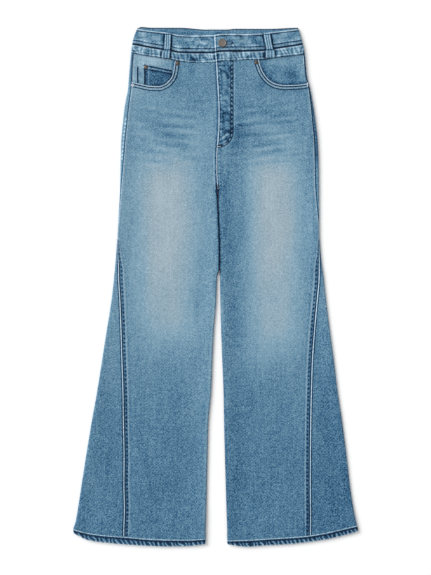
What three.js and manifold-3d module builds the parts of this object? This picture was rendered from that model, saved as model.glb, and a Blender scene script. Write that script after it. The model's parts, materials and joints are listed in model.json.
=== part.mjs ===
// Flared jeans laid flat on their back, fly up, as the pieces that a maker cuts and sews together.
// Millimetres. X runs from the wearer's right leg to the left one, Y from the hems to the waist, and Z up
// from the table. The origin is on the table, under the middle of the outline.
import * as THREE from "three";
import { mergeVertices } from "three/addons/utils/BufferGeometryUtils.js";
import Module from "manifold-3d";

const wasm = await Module();
wasm.setup();

// Cloth, from face to face, and how far apart sewn pieces stay
const PANEL_WALL = 1.2;
const POCKET_WALL = 1.0;
const BAND_WALL = 2.4;
const HEM_WALL = 2.6;
const LOOP_WALL = 1.5;
const ZIP_WALL = 1.4;
const SEAM_GAP = 0.3;

// How thick the flattened garment is, a row for each height: the radius of the folds at the legs' edges,
// and the height of the front's outer face over the middle of a panel
const THICKNESS = [
  { y: 532, fold: 3.4, middle: 6.2 },
  { y: 330, fold: 3.4, middle: 6.2 },
  { y: 200, fold: 3.0, middle: 4.8 },
  { y: 90, fold: 2.9, middle: 4.0 },
  { y: -420, fold: 2.9, middle: 4.0 },
  { y: -486, fold: 3.8, middle: 5.2 },
  { y: -532, fold: 3.8, middle: 5.2 },
];
const SAG_REACH = 30; // from a fold to where the front has sunk to its middle height
const WAVE = { height: 0.35, across: 150, along: 310 }; // the front's slow waves
const SEAM_RIDGE = { height: 0.5, width: 4 }; // over the seam allowance along each side flare

// Each leg is told by distances outward from the centre line. Its outline has a row for each height: the
// outer fold's tip, the side seam's distance along the cloth from that tip, and the inner edge. Scoop and
// waist have a row for each distance from the centre line, hem one for each share of the way inward.
const RIGHT_LEG = {
  sign: -1,
  outline: [
    { y: 532, outer: 160, seam: 6.9, inner: -3.6 },
    { y: 506, outer: 169.5, seam: 6.9, inner: -3.6 },
    { y: 478, outer: 173.5, seam: 6.9, inner: -3.6 },
    { y: 433, outer: 177.5, seam: 8.3, inner: -3.6 },
    { y: 408, outer: 179.5, seam: 9.1, inner: -3.6 },
    { y: 375, outer: 185.7, seam: 11.1, inner: -3.6 },
    { y: 342, outer: 189.8, seam: 11.7, inner: -3.6 },
    { y: 293, outer: 193.9, seam: 10.7, inner: -3.6 },
    { y: 228, outer: 195.4, seam: 6.2, inner: -3.6 },
    { y: 197, outer: 196.2, seam: 4.2, inner: -3.6 },
    { y: 146, outer: 199.0, seam: 2.2, inner: -3.8 },
    { y: 107, outer: 201.1, seam: 0, inner: -3.9 },
    { y: 62, outer: 204.6, seam: 9.0, inner: -3.8 },
    { y: 16, outer: 208.7, seam: 16.0, inner: -3.4 },
    { y: -27, outer: 213.6, seam: 23.2, inner: -1.2 },
    { y: -84, outer: 222.6, seam: 34.5, inner: 3.3 },
    { y: -150, outer: 232.9, seam: 46.8, inner: 6.6 },
    { y: -215, outer: 243.1, seam: 58.0, inner: 9.2 },
    { y: -281, outer: 255.0, seam: 69.8, inner: 14.9 },
    { y: -346, outer: 265.7, seam: 80.3, inner: 16.6 },
    { y: -412, outer: 275.9, seam: 89.8, inner: 18.2 },
    { y: -458, outer: 282.9, seam: 96.4, inner: 19.2 },
    { y: -482, outer: 287.4, seam: 101.0, inner: 19.8 },
    { y: -496, outer: 292, seam: 105.4, inner: 20.4 },
  ],
  scoop: [
    { u: 83.6, y: 464 },
    { u: 85.5, y: 447.9 },
    { u: 88.8, y: 432.6 },
    { u: 96.6, y: 421.9 },
    { u: 104.6, y: 415.3 },
    { u: 117.5, y: 411.4 },
    { u: 133.3, y: 412.1 },
    { u: 150.3, y: 415.3 },
    { u: 172.4, y: 420.4 },
  ],
  waist: [
    { u: -60, top: 515.6, middle: 484.6, bottom: 464.2 },
    { u: -4, top: 515.6, middle: 484.6, bottom: 464.2 },
    { u: 1, top: 515.6, middle: 480.4, bottom: 460.8 },
    { u: 40, top: 515.0, middle: 480.3, bottom: 459.4 },
    { u: 74, top: 516.0, middle: 481.1, bottom: 462.8 },
    { u: 92, top: 519.9, middle: 484.6, bottom: 466.6 },
    { u: 117, top: 523.0, middle: 488.3, bottom: 470.5 },
    { u: 150, top: 526.9, middle: 494.3, bottom: 475.2 },
    { u: 162, top: 528.9, middle: 496.7, bottom: 477.7 },
    { u: 174, top: 530.5, middle: 498.6, bottom: 480.1 },
  ],
  hem: [
    { share: 0, stitch: -496, edge: -504 },
    { share: 0.12, stitch: -504.7, edge: -519.3 },
    { share: 0.25, stitch: -509.2, edge: -524 },
    { share: 0.4, stitch: -512.3, edge: -527.7 },
    { share: 0.55, stitch: -515.8, edge: -530.1 },
    { share: 0.7, stitch: -517.4, edge: -531.6 },
    { share: 0.85, stitch: -517.8, edge: -531 },
    { share: 1, stitch: -515.4, edge: -526.5 },
  ],
};
const LEFT_LEG = {
  sign: 1,
  outline: [
    { y: 532, outer: 169, seam: 4.9, inner: 4.9 },
    { y: 506, outer: 177, seam: 4.9, inner: 4.9 },
    { y: 478, outer: 183, seam: 4.9, inner: 4.9 },
    { y: 433, outer: 187.5, seam: 5.3, inner: 4.9 },
    { y: 408, outer: 193.5, seam: 5.5, inner: 4.9 },
    { y: 375, outer: 199.7, seam: 7.3, inner: 4.9 },
    { y: 342, outer: 204.6, seam: 9.1, inner: 4.9 },
    { y: 293, outer: 209.9, seam: 9.8, inner: 4.9 },
    { y: 228, outer: 212.0, seam: 10.5, inner: 4.9 },
    { y: 197, outer: 212.3, seam: 9.3, inner: 4.9 },
    { y: 146, outer: 212.6, seam: 4.7, inner: 6.0 },
    { y: 107, outer: 212.9, seam: 0, inner: 6.8 },
    { y: 62, outer: 216.2, seam: 8.9, inner: 7.6 },
    { y: 16, outer: 222.0, seam: 19.2, inner: 8.2 },
    { y: -27, outer: 226.6, seam: 28.3, inner: 9.2 },
    { y: -84, outer: 233.7, seam: 39.6, inner: 11.1 },
    { y: -150, outer: 242.5, seam: 51.8, inner: 13.7 },
    { y: -215, outer: 250.5, seam: 60.0, inner: 16.2 },
    { y: -281, outer: 260.1, seam: 69.7, inner: 17.4 },
    { y: -346, outer: 268.6, seam: 78.2, inner: 19.0 },
    { y: -412, outer: 276.1, seam: 85.8, inner: 20.9 },
    { y: -458, outer: 283.3, seam: 92.9, inner: 22.3 },
    { y: -482, outer: 288.2, seam: 98.0, inner: 23.2 },
    { y: -496, outer: 292, seam: 102.1, inner: 23.8 },
  ],
  scoop: [
    { u: 88.6, y: 466 },
    { u: 91.6, y: 454.1 },
    { u: 98.2, y: 438.7 },
    { u: 110.5, y: 423.7 },
    { u: 123.8, y: 416.5 },
    { u: 142.3, y: 413.5 },
    { u: 168.9, y: 414.5 },
    { u: 190.4, y: 417.4 },
  ],
  waist: [
    { u: -3, top: 515.8, middle: 480.9, bottom: 460.8 },
    { u: 15, top: 518.0, middle: 483.0, bottom: 462.9 },
    { u: 61, top: 517.8, middle: 483.6, bottom: 465.3 },
    { u: 98, top: 519.9, middle: 485.2, bottom: 466.4 },
    { u: 120, top: 522.8, middle: 488.7, bottom: 469.9 },
    { u: 150, top: 526.0, middle: 493.4, bottom: 473.6 },
    { u: 168, top: 528.5, middle: 495.9, bottom: 475.6 },
    { u: 183, top: 530.5, middle: 499.6, bottom: 477.7 },
  ],
  hem: [
    { share: 0, stitch: -488.5, edge: -500.2 },
    { share: 0.12, stitch: -496.1, edge: -509.6 },
    { share: 0.25, stitch: -504.3, edge: -517.4 },
    { share: 0.4, stitch: -510.5, edge: -523.2 },
    { share: 0.55, stitch: -513.3, edge: -527.3 },
    { share: 0.7, stitch: -515.8, edge: -529.3 },
    { share: 0.85, stitch: -518.2, edge: -532 },
    { share: 1, stitch: -519.2, edge: -527 },
  ],
};
// The back waist, a row for each place across: it stands a little higher than the front
const BACK_WAIST = [
  { x: -174, top: 529.4, middle: 498.6, bottom: 480.1 },
  { x: -161, top: 529.4, middle: 498.2, bottom: 479.6 },
  { x: -153, top: 532.2, middle: 497.8, bottom: 479.2 },
  { x: -130, top: 530.6, middle: 497, bottom: 478.4 },
  { x: -73, top: 530.5, middle: 495, bottom: 476.4 },
  { x: -14, top: 526.6, middle: 493, bottom: 474.4 },
  { x: 20, top: 526.6, middle: 493, bottom: 474.4 },
  { x: 40, top: 528.4, middle: 493.6, bottom: 475 },
  { x: 110, top: 528.2, middle: 496, bottom: 476.4 },
  { x: 160, top: 530.4, middle: 498.6, bottom: 477.4 },
  { x: 183, top: 530.6, middle: 499.6, bottom: 477.7 },
];

// The fly: its folded edge from the waist to the crotch, its curved stitch line, and how far the cloth
// over it stands up
const FLY_EDGE = [
  { y: 532, x: -2.5 },
  { y: 517, x: -2.5 },
  { y: 476, x: -0.6 },
  { y: 459, x: 1.2 },
  { y: 428, x: 2.9 },
  { y: 396, x: 4.9 },
  { y: 362, x: 6.4 },
  { y: 326, x: 5.9 },
  { y: 302, x: 4.1 },
  { y: 271, x: 1.8 },
  { y: 239, x: 1.8 },
  { y: 199, x: 4.2 },
];
const FLY = { stitch: 34.5, bendFrom: 318, bottom: 287, rise: 1.6, slope: 4, underlap: 6 };
const CROTCH = 199;
const CROTCH_TURN = 24; // from the crotch down to where the legs' inner edges are full folds
const FLARE_TOP = 107; // where the side flares start
const CENTRE_BACK = 4.2; // the centre back seam, across

// The two-tier waistband: its folds, the underlap for the button, and the ramps where the wearer's left
// end comes down off the right one
const BAND = {
  fold: 3.6,
  underlap: 42,
  lowerEnd: 9,
  upperRamp: [44, 62],
  lowerRamp: [12, 30],
  flyRamp: [31, 40],
};

// Pockets
const FACING_HEM = 20; // how far a pocket facing reaches behind the scoop
const COIN_POCKET = { inner: 89.6, outer: 148.4, innerTop: 442.4, outerTop: 457.6, clear: 1.2 };

// Belt loops at the front, a row for each height: centre line, width and how far it stands off the band
const RIGHT_LOOP = [
  { y: 519, u: 97.6, width: 12, lift: 0.3 },
  { y: 514, u: 97.8, width: 12.6, lift: 1.5 },
  { y: 500, u: 98.4, width: 12.8, lift: 1.8 },
  { y: 486, u: 99.4, width: 13.2, lift: 1.5 },
  { y: 482, u: 101.4, width: 16.4, lift: 1.2 },
  { y: 474, u: 102.4, width: 16.8, lift: 0.9 },
  { y: 469, u: 102.6, width: 16.4, lift: 0.3 },
];
const LEFT_LOOP = [
  { y: 519, u: 105, width: 13.6, lift: 0.3 },
  { y: 514, u: 105.4, width: 13.8, lift: 1.5 },
  { y: 500, u: 108, width: 13.8, lift: 1.8 },
  { y: 488, u: 110.4, width: 13.8, lift: 1.5 },
  { y: 484, u: 111.4, width: 18, lift: 1.2 },
  { y: 475, u: 111.8, width: 19, lift: 0.9 },
  { y: 470, u: 111.8, width: 18.6, lift: 0.3 },
];
const BACK_LOOP = { centre: 2.9, width: 24.6, top: 525.6, bottom: 476, clear: [14, 28] };

// The closed zip under the fly, and what lies under the fly's edge
const ZIP = { left: -12, right: 24, top: 459, bottom: 322 };
const UNDERLAP_FADE = 14; // over which the right front's underlap ends, above the fly's bend

// Metal: the button's profile from its shank, and a rivet's from its foot, as radius and height
const BUTTON = { x: 13.7, y: 499.4, radius: 8.5, shank: 2.2, hole: 3, slit: 1, slitEnd: 37 };
const BUTTON_PROFILE = [
  { in: 0.6, up: 0 },
  { in: 0, up: 0.6 },
  { in: 0.1, up: 1.4 },
  { in: 0.9, up: 2.4 },
  { in: 1.7, up: 2.4 },
  { in: 2.3, up: 2.0 },
];
const BUTTON_CLEAR = 0.5; // between the band's face and the button's cap
const RIVET_PROFILE = [
  { radius: 0, height: 0 },
  { radius: 4.4, height: 0 },
  { radius: 4.4, height: 0.4 },
  { radius: 3.1, height: 1.0 },
  { radius: 1.6, height: 1.1 },
  { radius: 1.0, height: 1.6 },
  { radius: 0, height: 1.6 },
];
const RIVETS = [
  { name: "rivet_pocket_right", x: -77.8, y: 458.2, sunk: 0 },
  { name: "rivet_pocket_left", x: 83.6, y: 460.4, sunk: 0 },
  { name: "rivet_coin_pocket", x: -142.6, y: 450.6, sunk: 0.2 },
];

const WELD = 1e-4; // points closer than this are one

// Where a column can meet the scoop or the waist
const MEET = { between: [380, 540], halvings: 40 };

// Rows and columns of the pieces' grids
const LEG_LEVELS = [178, 146, FLARE_TOP, 99, 62, 16, -27, -84, -150, -215, -281, -346, -412, -458, -482];
const FLY_LEVELS = [352, 320, 304, 290, 272, 248, 222, CROTCH];
const BACK_LEVELS = [433, 408, 380, 352, 320, 304, 290, 248, 222, CROTCH];
const ROWS_BY_SCOOP = 5;
const SCOOP_STEPS = 8;
const RIM_STEPS = 180;
const WAIST_STEPS = 4;
const SEAM_COLUMNS = [0, 0.016, 0.045];
const INSEAM_WRAPS = [0.33, 0.67, 1];
const BACK_COLUMNS = [0, 0.022, 0.044, 0.066, 0.09, 0.12, 0.22, 0.36, 0.5, 0.65, 0.8, 0.92, 1];
const BACK_WRAP = 0.1; // the columns up to here come round to the front
const FLARE_FLAT_STEPS = 5;
const FLARE_FOLD_STEPS = 6;
const HALVES = [0, 0.5, 1];
const BAND_SIDE_COLUMNS = [0, 0.012, 0.024, 0.036];
const BAND_STEPS = 12;
const BACK_BAND_COLUMNS = [...BAND_SIDE_COLUMNS, 0.09, 0.2, 0.4, 0.6, 0.75, 0.82, 0.88, 0.94, 0.98];
const FACING_SIDE_COLUMNS = [0, 0.03, 0.07];
const FACING_STEPS = 8;
const FACING_ROWS = [0, 0.25, 0.5, 0.75, 1];
const COIN_COLUMNS = [0, 0.03, 0.08, 0.16, 0.28, 0.42, 0.56, 0.7, 0.85, 1];
const FLY_FACING_ROWS = [0, 0.2, 0.4, 0.6, 0.8, 1];
const FLY_FACING_COLUMNS = [0, 0.25, 0.5, 0.7, 0.85, 1];
const ZIP_ROWS = 7;
const ZIP_COLUMNS = 4;
const ROUND_SEGMENTS = { button: 22, rivet: 14, hole: 16 };

const COLOURS = {
  denim: 0x6791b0,
  darkDenim: 0x46718f,
  paleDenim: 0x87a5b7,
  metal: 0x8f8377,
  copper: 0xa07f66,
  tape: 0x39536b,
};

const { lerp, smoothstep, clamp } = THREE.MathUtils;

// A smooth line through a table's rows that doesn't overshoot between two of them.
function smoothLine(rows, along, value) {
  const points = rows.map((row) => [row[along], row[value]]).sort((p, q) => p[0] - q[0]);
  const slopes = points.slice(1).map((p, i) => (p[1] - points[i][1]) / (p[0] - points[i][0]));
  const tangents = points.map((_, i) => {
    const before = slopes[Math.max(i - 1, 0)];
    const after = slopes[Math.min(i, slopes.length - 1)];
    return before * after <= 0 ? 0 : (2 * before * after) / (before + after);
  });
  return (at) => {
    const x = clamp(at, points[0][0], points[points.length - 1][0]);
    const i = clamp(points.findIndex((p) => p[0] >= x), 1, points.length - 1);
    const width = points[i][0] - points[i - 1][0];
    const t = (x - points[i - 1][0]) / width;
    const start = points[i - 1][1] * (1 + 2 * t) + tangents[i - 1] * width * t;
    const end = points[i][1] * (3 - 2 * t) - tangents[i] * width * (1 - t);
    return start * (1 - t) ** 2 + end * t ** 2;
  };
}

const foldRadius = smoothLine(THICKNESS, "y", "fold");
const middleHeight = smoothLine(THICKNESS, "y", "middle");
const flyEdge = smoothLine(FLY_EDGE, "y", "x");
const backTop = smoothLine(BACK_WAIST, "x", "top");
const backMiddle = smoothLine(BACK_WAIST, "x", "middle");
const backBottom = smoothLine(BACK_WAIST, "x", "bottom");
for (const leg of [RIGHT_LEG, LEFT_LEG]) {
  leg.outer = smoothLine(leg.outline, "y", "outer");
  leg.inner = smoothLine(leg.outline, "y", "inner");
  leg.seam = smoothLine(leg.outline, "y", "seam");
  leg.scoopLine = smoothLine(leg.scoop, "u", "y");
  leg.bandTop = smoothLine(leg.waist, "u", "top");
  leg.bandMiddle = smoothLine(leg.waist, "u", "middle");
  leg.bandBottom = smoothLine(leg.waist, "u", "bottom");
  leg.hemStitch = smoothLine(leg.hem, "share", "stitch");
  leg.hemEdge = smoothLine(leg.hem, "share", "edge");
}

const quarterFold = (y) => (Math.PI / 2) * foldRadius(y);
const legShare = (y) => 1 - smoothstep(y, CROTCH - CROTCH_TURN, CROTCH);

// The height of the front over the middle of the panels, which runs on across the centre line.
function middleTop(x, y) {
  const wave = Math.sin((2 * Math.PI * x) / WAVE.across) * Math.cos((2 * Math.PI * y) / WAVE.along);
  return middleHeight(y) + WAVE.height * wave;
}

// How far inside the fly's curved stitch line a place lies.
function insideFly(x, y) {
  if (y >= FLY.bendFrom) return FLY.stitch - x;
  const drop = (FLY.bendFrom - y) / (FLY.bendFrom - FLY.bottom);
  const width = FLY.stitch - flyEdge(y);
  return width * (1 - Math.hypot((x - flyEdge(y)) / width, drop));
}

// The front's outer face at a distance u from the centre line, between the folds.
function frontTop(leg, u, y) {
  const x = leg.sign * u;
  const fold = foldRadius(y);
  const middle = middleTop(x, y);
  const fromOuter = 1 - smoothstep(leg.outer(y) - fold - u, 0, SAG_REACH);
  const fromInner = legShare(y) * (1 - smoothstep(u - leg.inner(y) - fold, 0, SAG_REACH));
  const offSeam = leg.outer(y) - (leg.seam(y) - quarterFold(y) + fold) - u;
  const ridge = y < FLARE_TOP ? SEAM_RIDGE.height * Math.exp(-((offSeam / SEAM_RIDGE.width) ** 2)) : 0;
  const started = smoothstep(FLARE_TOP - y, 0, SAG_REACH);
  const rise = leg === LEFT_LEG ? FLY.rise * smoothstep(insideFly(x, y), -FLY.slope, FLY.slope) : 0;
  return middle + (2 * fold - middle) * clamp(fromOuter + fromInner, 0, 1) + ridge * started + rise;
}

// Where the front or the back ends at the centre line, as a distance u outward: the right front runs a
// little way under the fly, and below it the two fronts meet.
function centreEdge(leg, y, isBack) {
  if (isBack) return leg.sign * CENTRE_BACK + SEAM_GAP / 2;
  if (leg === LEFT_LEG) return flyEdge(y);
  const under = FLY.underlap * smoothstep(y, FLY.bendFrom - UNDERLAP_FADE, FLY.bendFrom);
  return SEAM_GAP - flyEdge(y) - under;
}

// The cloth's length from the outer fold's tip to the panel's inner end, over the hips and over a leg.
function hipLength(leg, y, isBack) {
  return quarterFold(y) + leg.outer(y) - centreEdge(leg, y, isBack) - foldRadius(y);
}
function legLength(leg, y) {
  return 2 * quarterFold(y) + leg.outer(y) - leg.inner(y) - 2 * foldRadius(y);
}
function clothLength(leg, y, isBack) {
  return lerp(hipLength(leg, y, isBack), legLength(leg, y), legShare(y));
}

// A point on a section: way is the distance along the cloth from the outer fold's tip, positive over the
// front and negative under the back, and depth goes in from the outer face. section holds the outer tip,
// the fold's radius, the front's height at u, and the inner tip where the section closes there.
function onSection(section, way, depth) {
  const { outer, inner, fold, top } = section;
  const quarter = (Math.PI / 2) * fold;
  const face = way < 0 ? -1 : 1;
  const reach = Math.abs(way);
  const round = fold - depth;
  if (reach <= quarter) {
    const angle = way / fold;
    return { u: outer - fold + round * Math.cos(angle), z: fold + round * Math.sin(angle) };
  }
  const u = outer - fold - (reach - quarter);
  if (inner !== undefined && u < inner + fold) {
    const angle = Math.min((inner + fold - u) / fold, Math.PI / 2);
    return { u: inner + fold - round * Math.sin(angle), z: fold + face * round * Math.cos(angle) };
  }
  return { u, z: face < 0 ? depth + (section.floor ? section.floor(u) : 0) : top(u) - depth };
}

// A point of the body of the garment: over the hips a section ends flat at the centre line, down the legs
// it closes round the inner edge, and it turns from one to the other below the crotch.
function onBody(leg, y, way, depth) {
  const isBack = way < 0;
  const share = legShare(y);
  const length = clothLength(leg, y, isBack);
  const section = { outer: leg.outer(y), fold: foldRadius(y), top: (u) => frontTop(leg, u, y) };
  const hip = onSection(section, (way * hipLength(leg, y, isBack)) / length, depth);
  const whole = { ...section, inner: leg.inner(y) };
  const limb = onSection(whole, (way * legLength(leg, y)) / length, depth);
  const u = lerp(hip.u, limb.u, share);
  return new THREE.Vector3(leg.sign * u, y, lerp(hip.z, limb.z, share));
}

// A geometry from two equal grids, the outer and the inner face of a wall, closed along their borders. A
// ring's last column joins its first.
function wallGeometry(outer, inner, isRing = false) {
  const rows = outer.length;
  const columns = outer[0].length;
  const across = isRing ? columns : columns - 1;
  const at = (face, i, j) => (face * rows + i) * columns + (j % columns);
  const index = [];
  const quad = (a, b, c, d) => index.push(a, b, c, a, c, d);
  const last = rows - 1;
  for (let j = 0; j < across; j++) {
    for (let i = 0; i < last; i++) {
      quad(at(0, i, j), at(0, i, j + 1), at(0, i + 1, j + 1), at(0, i + 1, j));
      quad(at(1, i, j), at(1, i + 1, j), at(1, i + 1, j + 1), at(1, i, j + 1));
    }
    quad(at(0, 0, j), at(1, 0, j), at(1, 0, j + 1), at(0, 0, j + 1));
    quad(at(0, last, j), at(0, last, j + 1), at(1, last, j + 1), at(1, last, j));
  }
  for (let i = 0; i < last && !isRing; i++) {
    quad(at(0, i, 0), at(0, i + 1, 0), at(1, i + 1, 0), at(1, i, 0));
    quad(at(0, i, across), at(1, i, across), at(1, i + 1, across), at(0, i + 1, across));
  }
  const points = [...outer.flat(), ...inner.flat()];
  if (volumeOf(points, index) < 0) index.reverse();
  const geometry = new THREE.BufferGeometry().setFromPoints(points).setIndex(index);
  geometry.computeVertexNormals();
  return geometry;
}

function volumeOf(points, index) {
  let sum = 0;
  const cross = new THREE.Vector3();
  for (let i = 0; i < index.length; i += 3) {
    const [a, b, c] = [points[index[i]], points[index[i + 1]], points[index[i + 2]]];
    sum += a.dot(cross.crossVectors(b, c));
  }
  return sum;
}

// Outer and inner grids from one function of row, column and depth.
function wallFrom(rows, columns, depths, point, isRing = false) {
  const grid = (depth) => rows.map((row) => columns.map((column) => point(row, column, depth)));
  return wallGeometry(grid(depths[0]), grid(depths[1]), isRing);
}

// The way to a column of a panel that starts at edge: its share of the flat stretch, then its wrap round
// the inseam.
function columnWay(edge, length, y, column) {
  const flat = length - quarterFold(y) - edge;
  return edge + column.share * flat + column.wrap * (quarterFold(y) - SEAM_GAP / 2);
}
function frontWay(leg, y, column) {
  return columnWay(leg.seam(y) + SEAM_GAP / 2, clothLength(leg, y, false), y, column);
}
function backWay(leg, y, column) {
  const edge = y >= FLARE_TOP ? SEAM_GAP / 2 - leg.seam(y) : SEAM_GAP / 2 + leg.seam(y);
  return -columnWay(edge, clothLength(leg, y, true), y, column);
}
const flatColumns = (shares) => shares.map((share) => ({ share, wrap: 0 }));
const wrapColumns = INSEAM_WRAPS.map((wrap) => ({ share: 1, wrap }));
const countUpTo = (count) => Array.from({ length: count }, (_, i) => i);
const evenSteps = (from, to, count) => countUpTo(count + 1).map((i) => lerp(from, to, i / count));

// The height at which a column meets a line that is told across the garment, found by halving.
function meet(line, outwardAt) {
  let [below, above] = MEET.between;
  for (let i = 0; i < MEET.halvings; i++) {
    const y = (below + above) / 2;
    if (y < line(outwardAt(y))) below = y;
    else above = y;
  }
  return below;
}

// The hem's stitch line where a way reaches it, from the share of the leg's width there.
function shareAcross(leg, u, y) {
  return clamp((leg.outer(y) - u) / (leg.outer(y) - leg.inner(y)), 0, 1);
}
function hemHeight(leg, wayAt) {
  const y = LEG_LEVELS[LEG_LEVELS.length - 1];
  const u = leg.sign * onBody(leg, y, wayAt(y), 0).x;
  return leg.hemStitch(shareAcross(leg, u, y));
}

// The front's top outline: the pocket's scoop, then the seam under the waistband.
function frontOutline(leg, u) {
  if (u > leg.scoop[0].u) return leg.scoopLine(u);
  return leg.bandBottom(Math.max(u, FLY.slope)) - 1.5 * SEAM_GAP;
}

// Columns of the front: close to the side seam, evenly along the scoop, evenly to the fly, and round the
// inseam.
function frontColumns(leg) {
  const start = leg.scoop[0].u;
  const last = leg.scoop[leg.scoop.length - 1].u;
  const rim = evenSteps(last, start, RIM_STEPS).map((u) => new THREE.Vector2(u, leg.scoopLine(u)));
  const onRim = new THREE.Path().setFromPoints(rim).getSpacedPoints(SCOOP_STEPS).slice(1);
  const shareOf = (point) => {
    const way = quarterFold(point.y) + leg.outer(point.y) - foldRadius(point.y) - point.x;
    const edge = frontWay(leg, point.y, { share: 0, wrap: 0 });
    const end = frontWay(leg, point.y, { share: 1, wrap: 0 });
    return (way - edge) / (end - edge);
  };
  const scoop = onRim.map(shareOf);
  const from = scoop[scoop.length - 1];
  const offFly = shareOf(new THREE.Vector2(FLY.stitch + FLY.slope, CROTCH));
  const onFly = shareOf(new THREE.Vector2(FLY.stitch - FLY.slope, CROTCH));
  const waist = evenSteps(from, offFly, WAIST_STEPS).slice(1);
  return [...flatColumns([...SEAM_COLUMNS, ...scoop, ...waist, onFly, 1]), ...wrapColumns];
}

function frontPanel(leg) {
  const columns = frontColumns(leg);
  const levels = [...FLY_LEVELS, ...LEG_LEVELS];
  const rows = countUpTo(ROWS_BY_SCOOP + levels.length + 1);
  for (const column of columns) {
    const outwardAt = (y) => leg.sign * onBody(leg, y, frontWay(leg, y, column), 0).x;
    column.top = meet((u) => frontOutline(leg, u), outwardAt);
    column.bottom = hemHeight(leg, (y) => frontWay(leg, y, column)) + SEAM_GAP / 2;
  }
  return wallFrom(rows, columns, [0, PANEL_WALL], (row, column, depth) => {
    let y = levels[row - ROWS_BY_SCOOP] ?? column.bottom;
    if (row < ROWS_BY_SCOOP) y = lerp(column.top, levels[0], row / ROWS_BY_SCOOP);
    return onBody(leg, y, frontWay(leg, y, column), depth);
  });
}

function backPanel(leg) {
  const columns = [...flatColumns(BACK_COLUMNS), ...wrapColumns];
  const levels = [...BACK_LEVELS, ...LEG_LEVELS];
  const rows = countUpTo(levels.length + 2);
  for (const column of columns) {
    const outwardAt = (y) => leg.sign * onBody(leg, y, backWay(leg, y, column), 0).x;
    const wraps = column.share < BACK_WRAP;
    const line = (u) => Math.min(backBottom(leg.sign * u), wraps ? leg.bandBottom(u) : Infinity);
    column.top = meet((u) => line(u) - SEAM_GAP, outwardAt);
    column.bottom = hemHeight(leg, (y) => backWay(leg, y, column)) + SEAM_GAP / 2;
  }
  return wallFrom(rows, columns, [0, PANEL_WALL], (row, column, depth) => {
    const y = row === 0 ? column.top : (levels[row - 1] ?? column.bottom);
    return onBody(leg, y, backWay(leg, y, column), depth);
  });
}

// The side flare runs from the front seam round the outer fold to the back seam.
function flareWays(leg, y) {
  const half = leg.seam(y) - SEAM_GAP / 2;
  const fold = Math.min(quarterFold(y), half / 2);
  const flat = evenSteps(half, fold, FLARE_FLAT_STEPS).slice(0, -1);
  const round = evenSteps(fold, -fold, FLARE_FOLD_STEPS);
  return [...flat, ...round, ...flat.map((way) => -way).reverse()];
}

function sideFlare(leg) {
  const levels = LEG_LEVELS.filter((y) => y < FLARE_TOP);
  const rows = countUpTo(levels.length + 1);
  const columns = countUpTo(flareWays(leg, levels[0]).length);
  return wallFrom(rows, columns, [0, PANEL_WALL], (row, column, depth) => {
    const bottom = hemHeight(leg, (y) => flareWays(leg, y)[column]) + SEAM_GAP / 2;
    const y = levels[row] ?? bottom;
    return onBody(leg, y, flareWays(leg, y)[column], depth);
  });
}

// The turned-up hem is a ring round the leg's opening, with a column wherever the panels above have one.
function hemRing(leg) {
  const level = LEG_LEVELS[LEG_LEVELS.length - 1];
  const front = frontColumns(leg).map((column) => (y) => frontWay(leg, y, column));
  const backColumns = [...flatColumns(BACK_COLUMNS), ...wrapColumns];
  const back = backColumns.map((column) => (y) => backWay(leg, y, column));
  const flare = flareWays(leg, level).map((_, i) => (y) => flareWays(leg, y)[i]);
  const around = [...flare.reverse(), ...front, ...back.reverse()];
  const columns = around.map((wayAt) => ({ wayAt, stitch: hemHeight(leg, wayAt) }));
  for (const column of columns) {
    const u = leg.sign * onBody(leg, level, column.wayAt(level), 0).x;
    column.edge = leg.hemEdge(shareAcross(leg, u, level));
  }
  const hemTop = middleHeight(level) + HEM_WALL - PANEL_WALL;
  const point = (row, column, depth) => {
    const y = lerp(column.stitch - SEAM_GAP / 2, column.edge, row);
    const [outer, inner, fold] = [leg.outer(y), leg.inner(y), foldRadius(y)];
    const top = (u) => {
      const near = Math.min(outer - fold - u, u - inner - fold);
      return lerp(2 * fold, hemTop, smoothstep(near, 0, SAG_REACH));
    };
    const { u, z } = onSection({ outer, inner, fold, top }, column.wayAt(y), depth);
    return new THREE.Vector3(leg.sign * u, y, z);
  };
  return wallFrom(HALVES, columns, [0, HEM_WALL], point, true);
}

// One tier of the waistband at the front, from the side to inner, its end past the centre line.
function frontBand(leg, upper, lower, inner, rise) {
  const length = (y) => (Math.PI / 2 - 1) * BAND.fold + leg.outer(y) - inner(y);
  const shares = [...BAND_SIDE_COLUMNS, ...evenSteps(BAND_SIDE_COLUMNS.at(-1), 1, BAND_STEPS).slice(1)];
  const wayAt = (y, share) => lerp(SEAM_GAP / 2, length(y), share);
  const section = (y) => ({ outer: leg.outer(y), fold: BAND.fold, top: (u) => 2 * BAND.fold + rise(u) });
  const columns = shares.map((share) => {
    const outwardAt = (y) => onSection(section(y), wayAt(y, share), 0).u;
    return { share, top: meet(upper, outwardAt), bottom: meet(lower, outwardAt) };
  });
  return wallFrom(HALVES, columns, [0, BAND_WALL], (row, column, depth) => {
    const y = lerp(column.top, column.bottom, row);
    const { u, z } = onSection(section(y), wayAt(y, column.share), depth);
    return new THREE.Vector3(leg.sign * u, y, z);
  });
}

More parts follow.
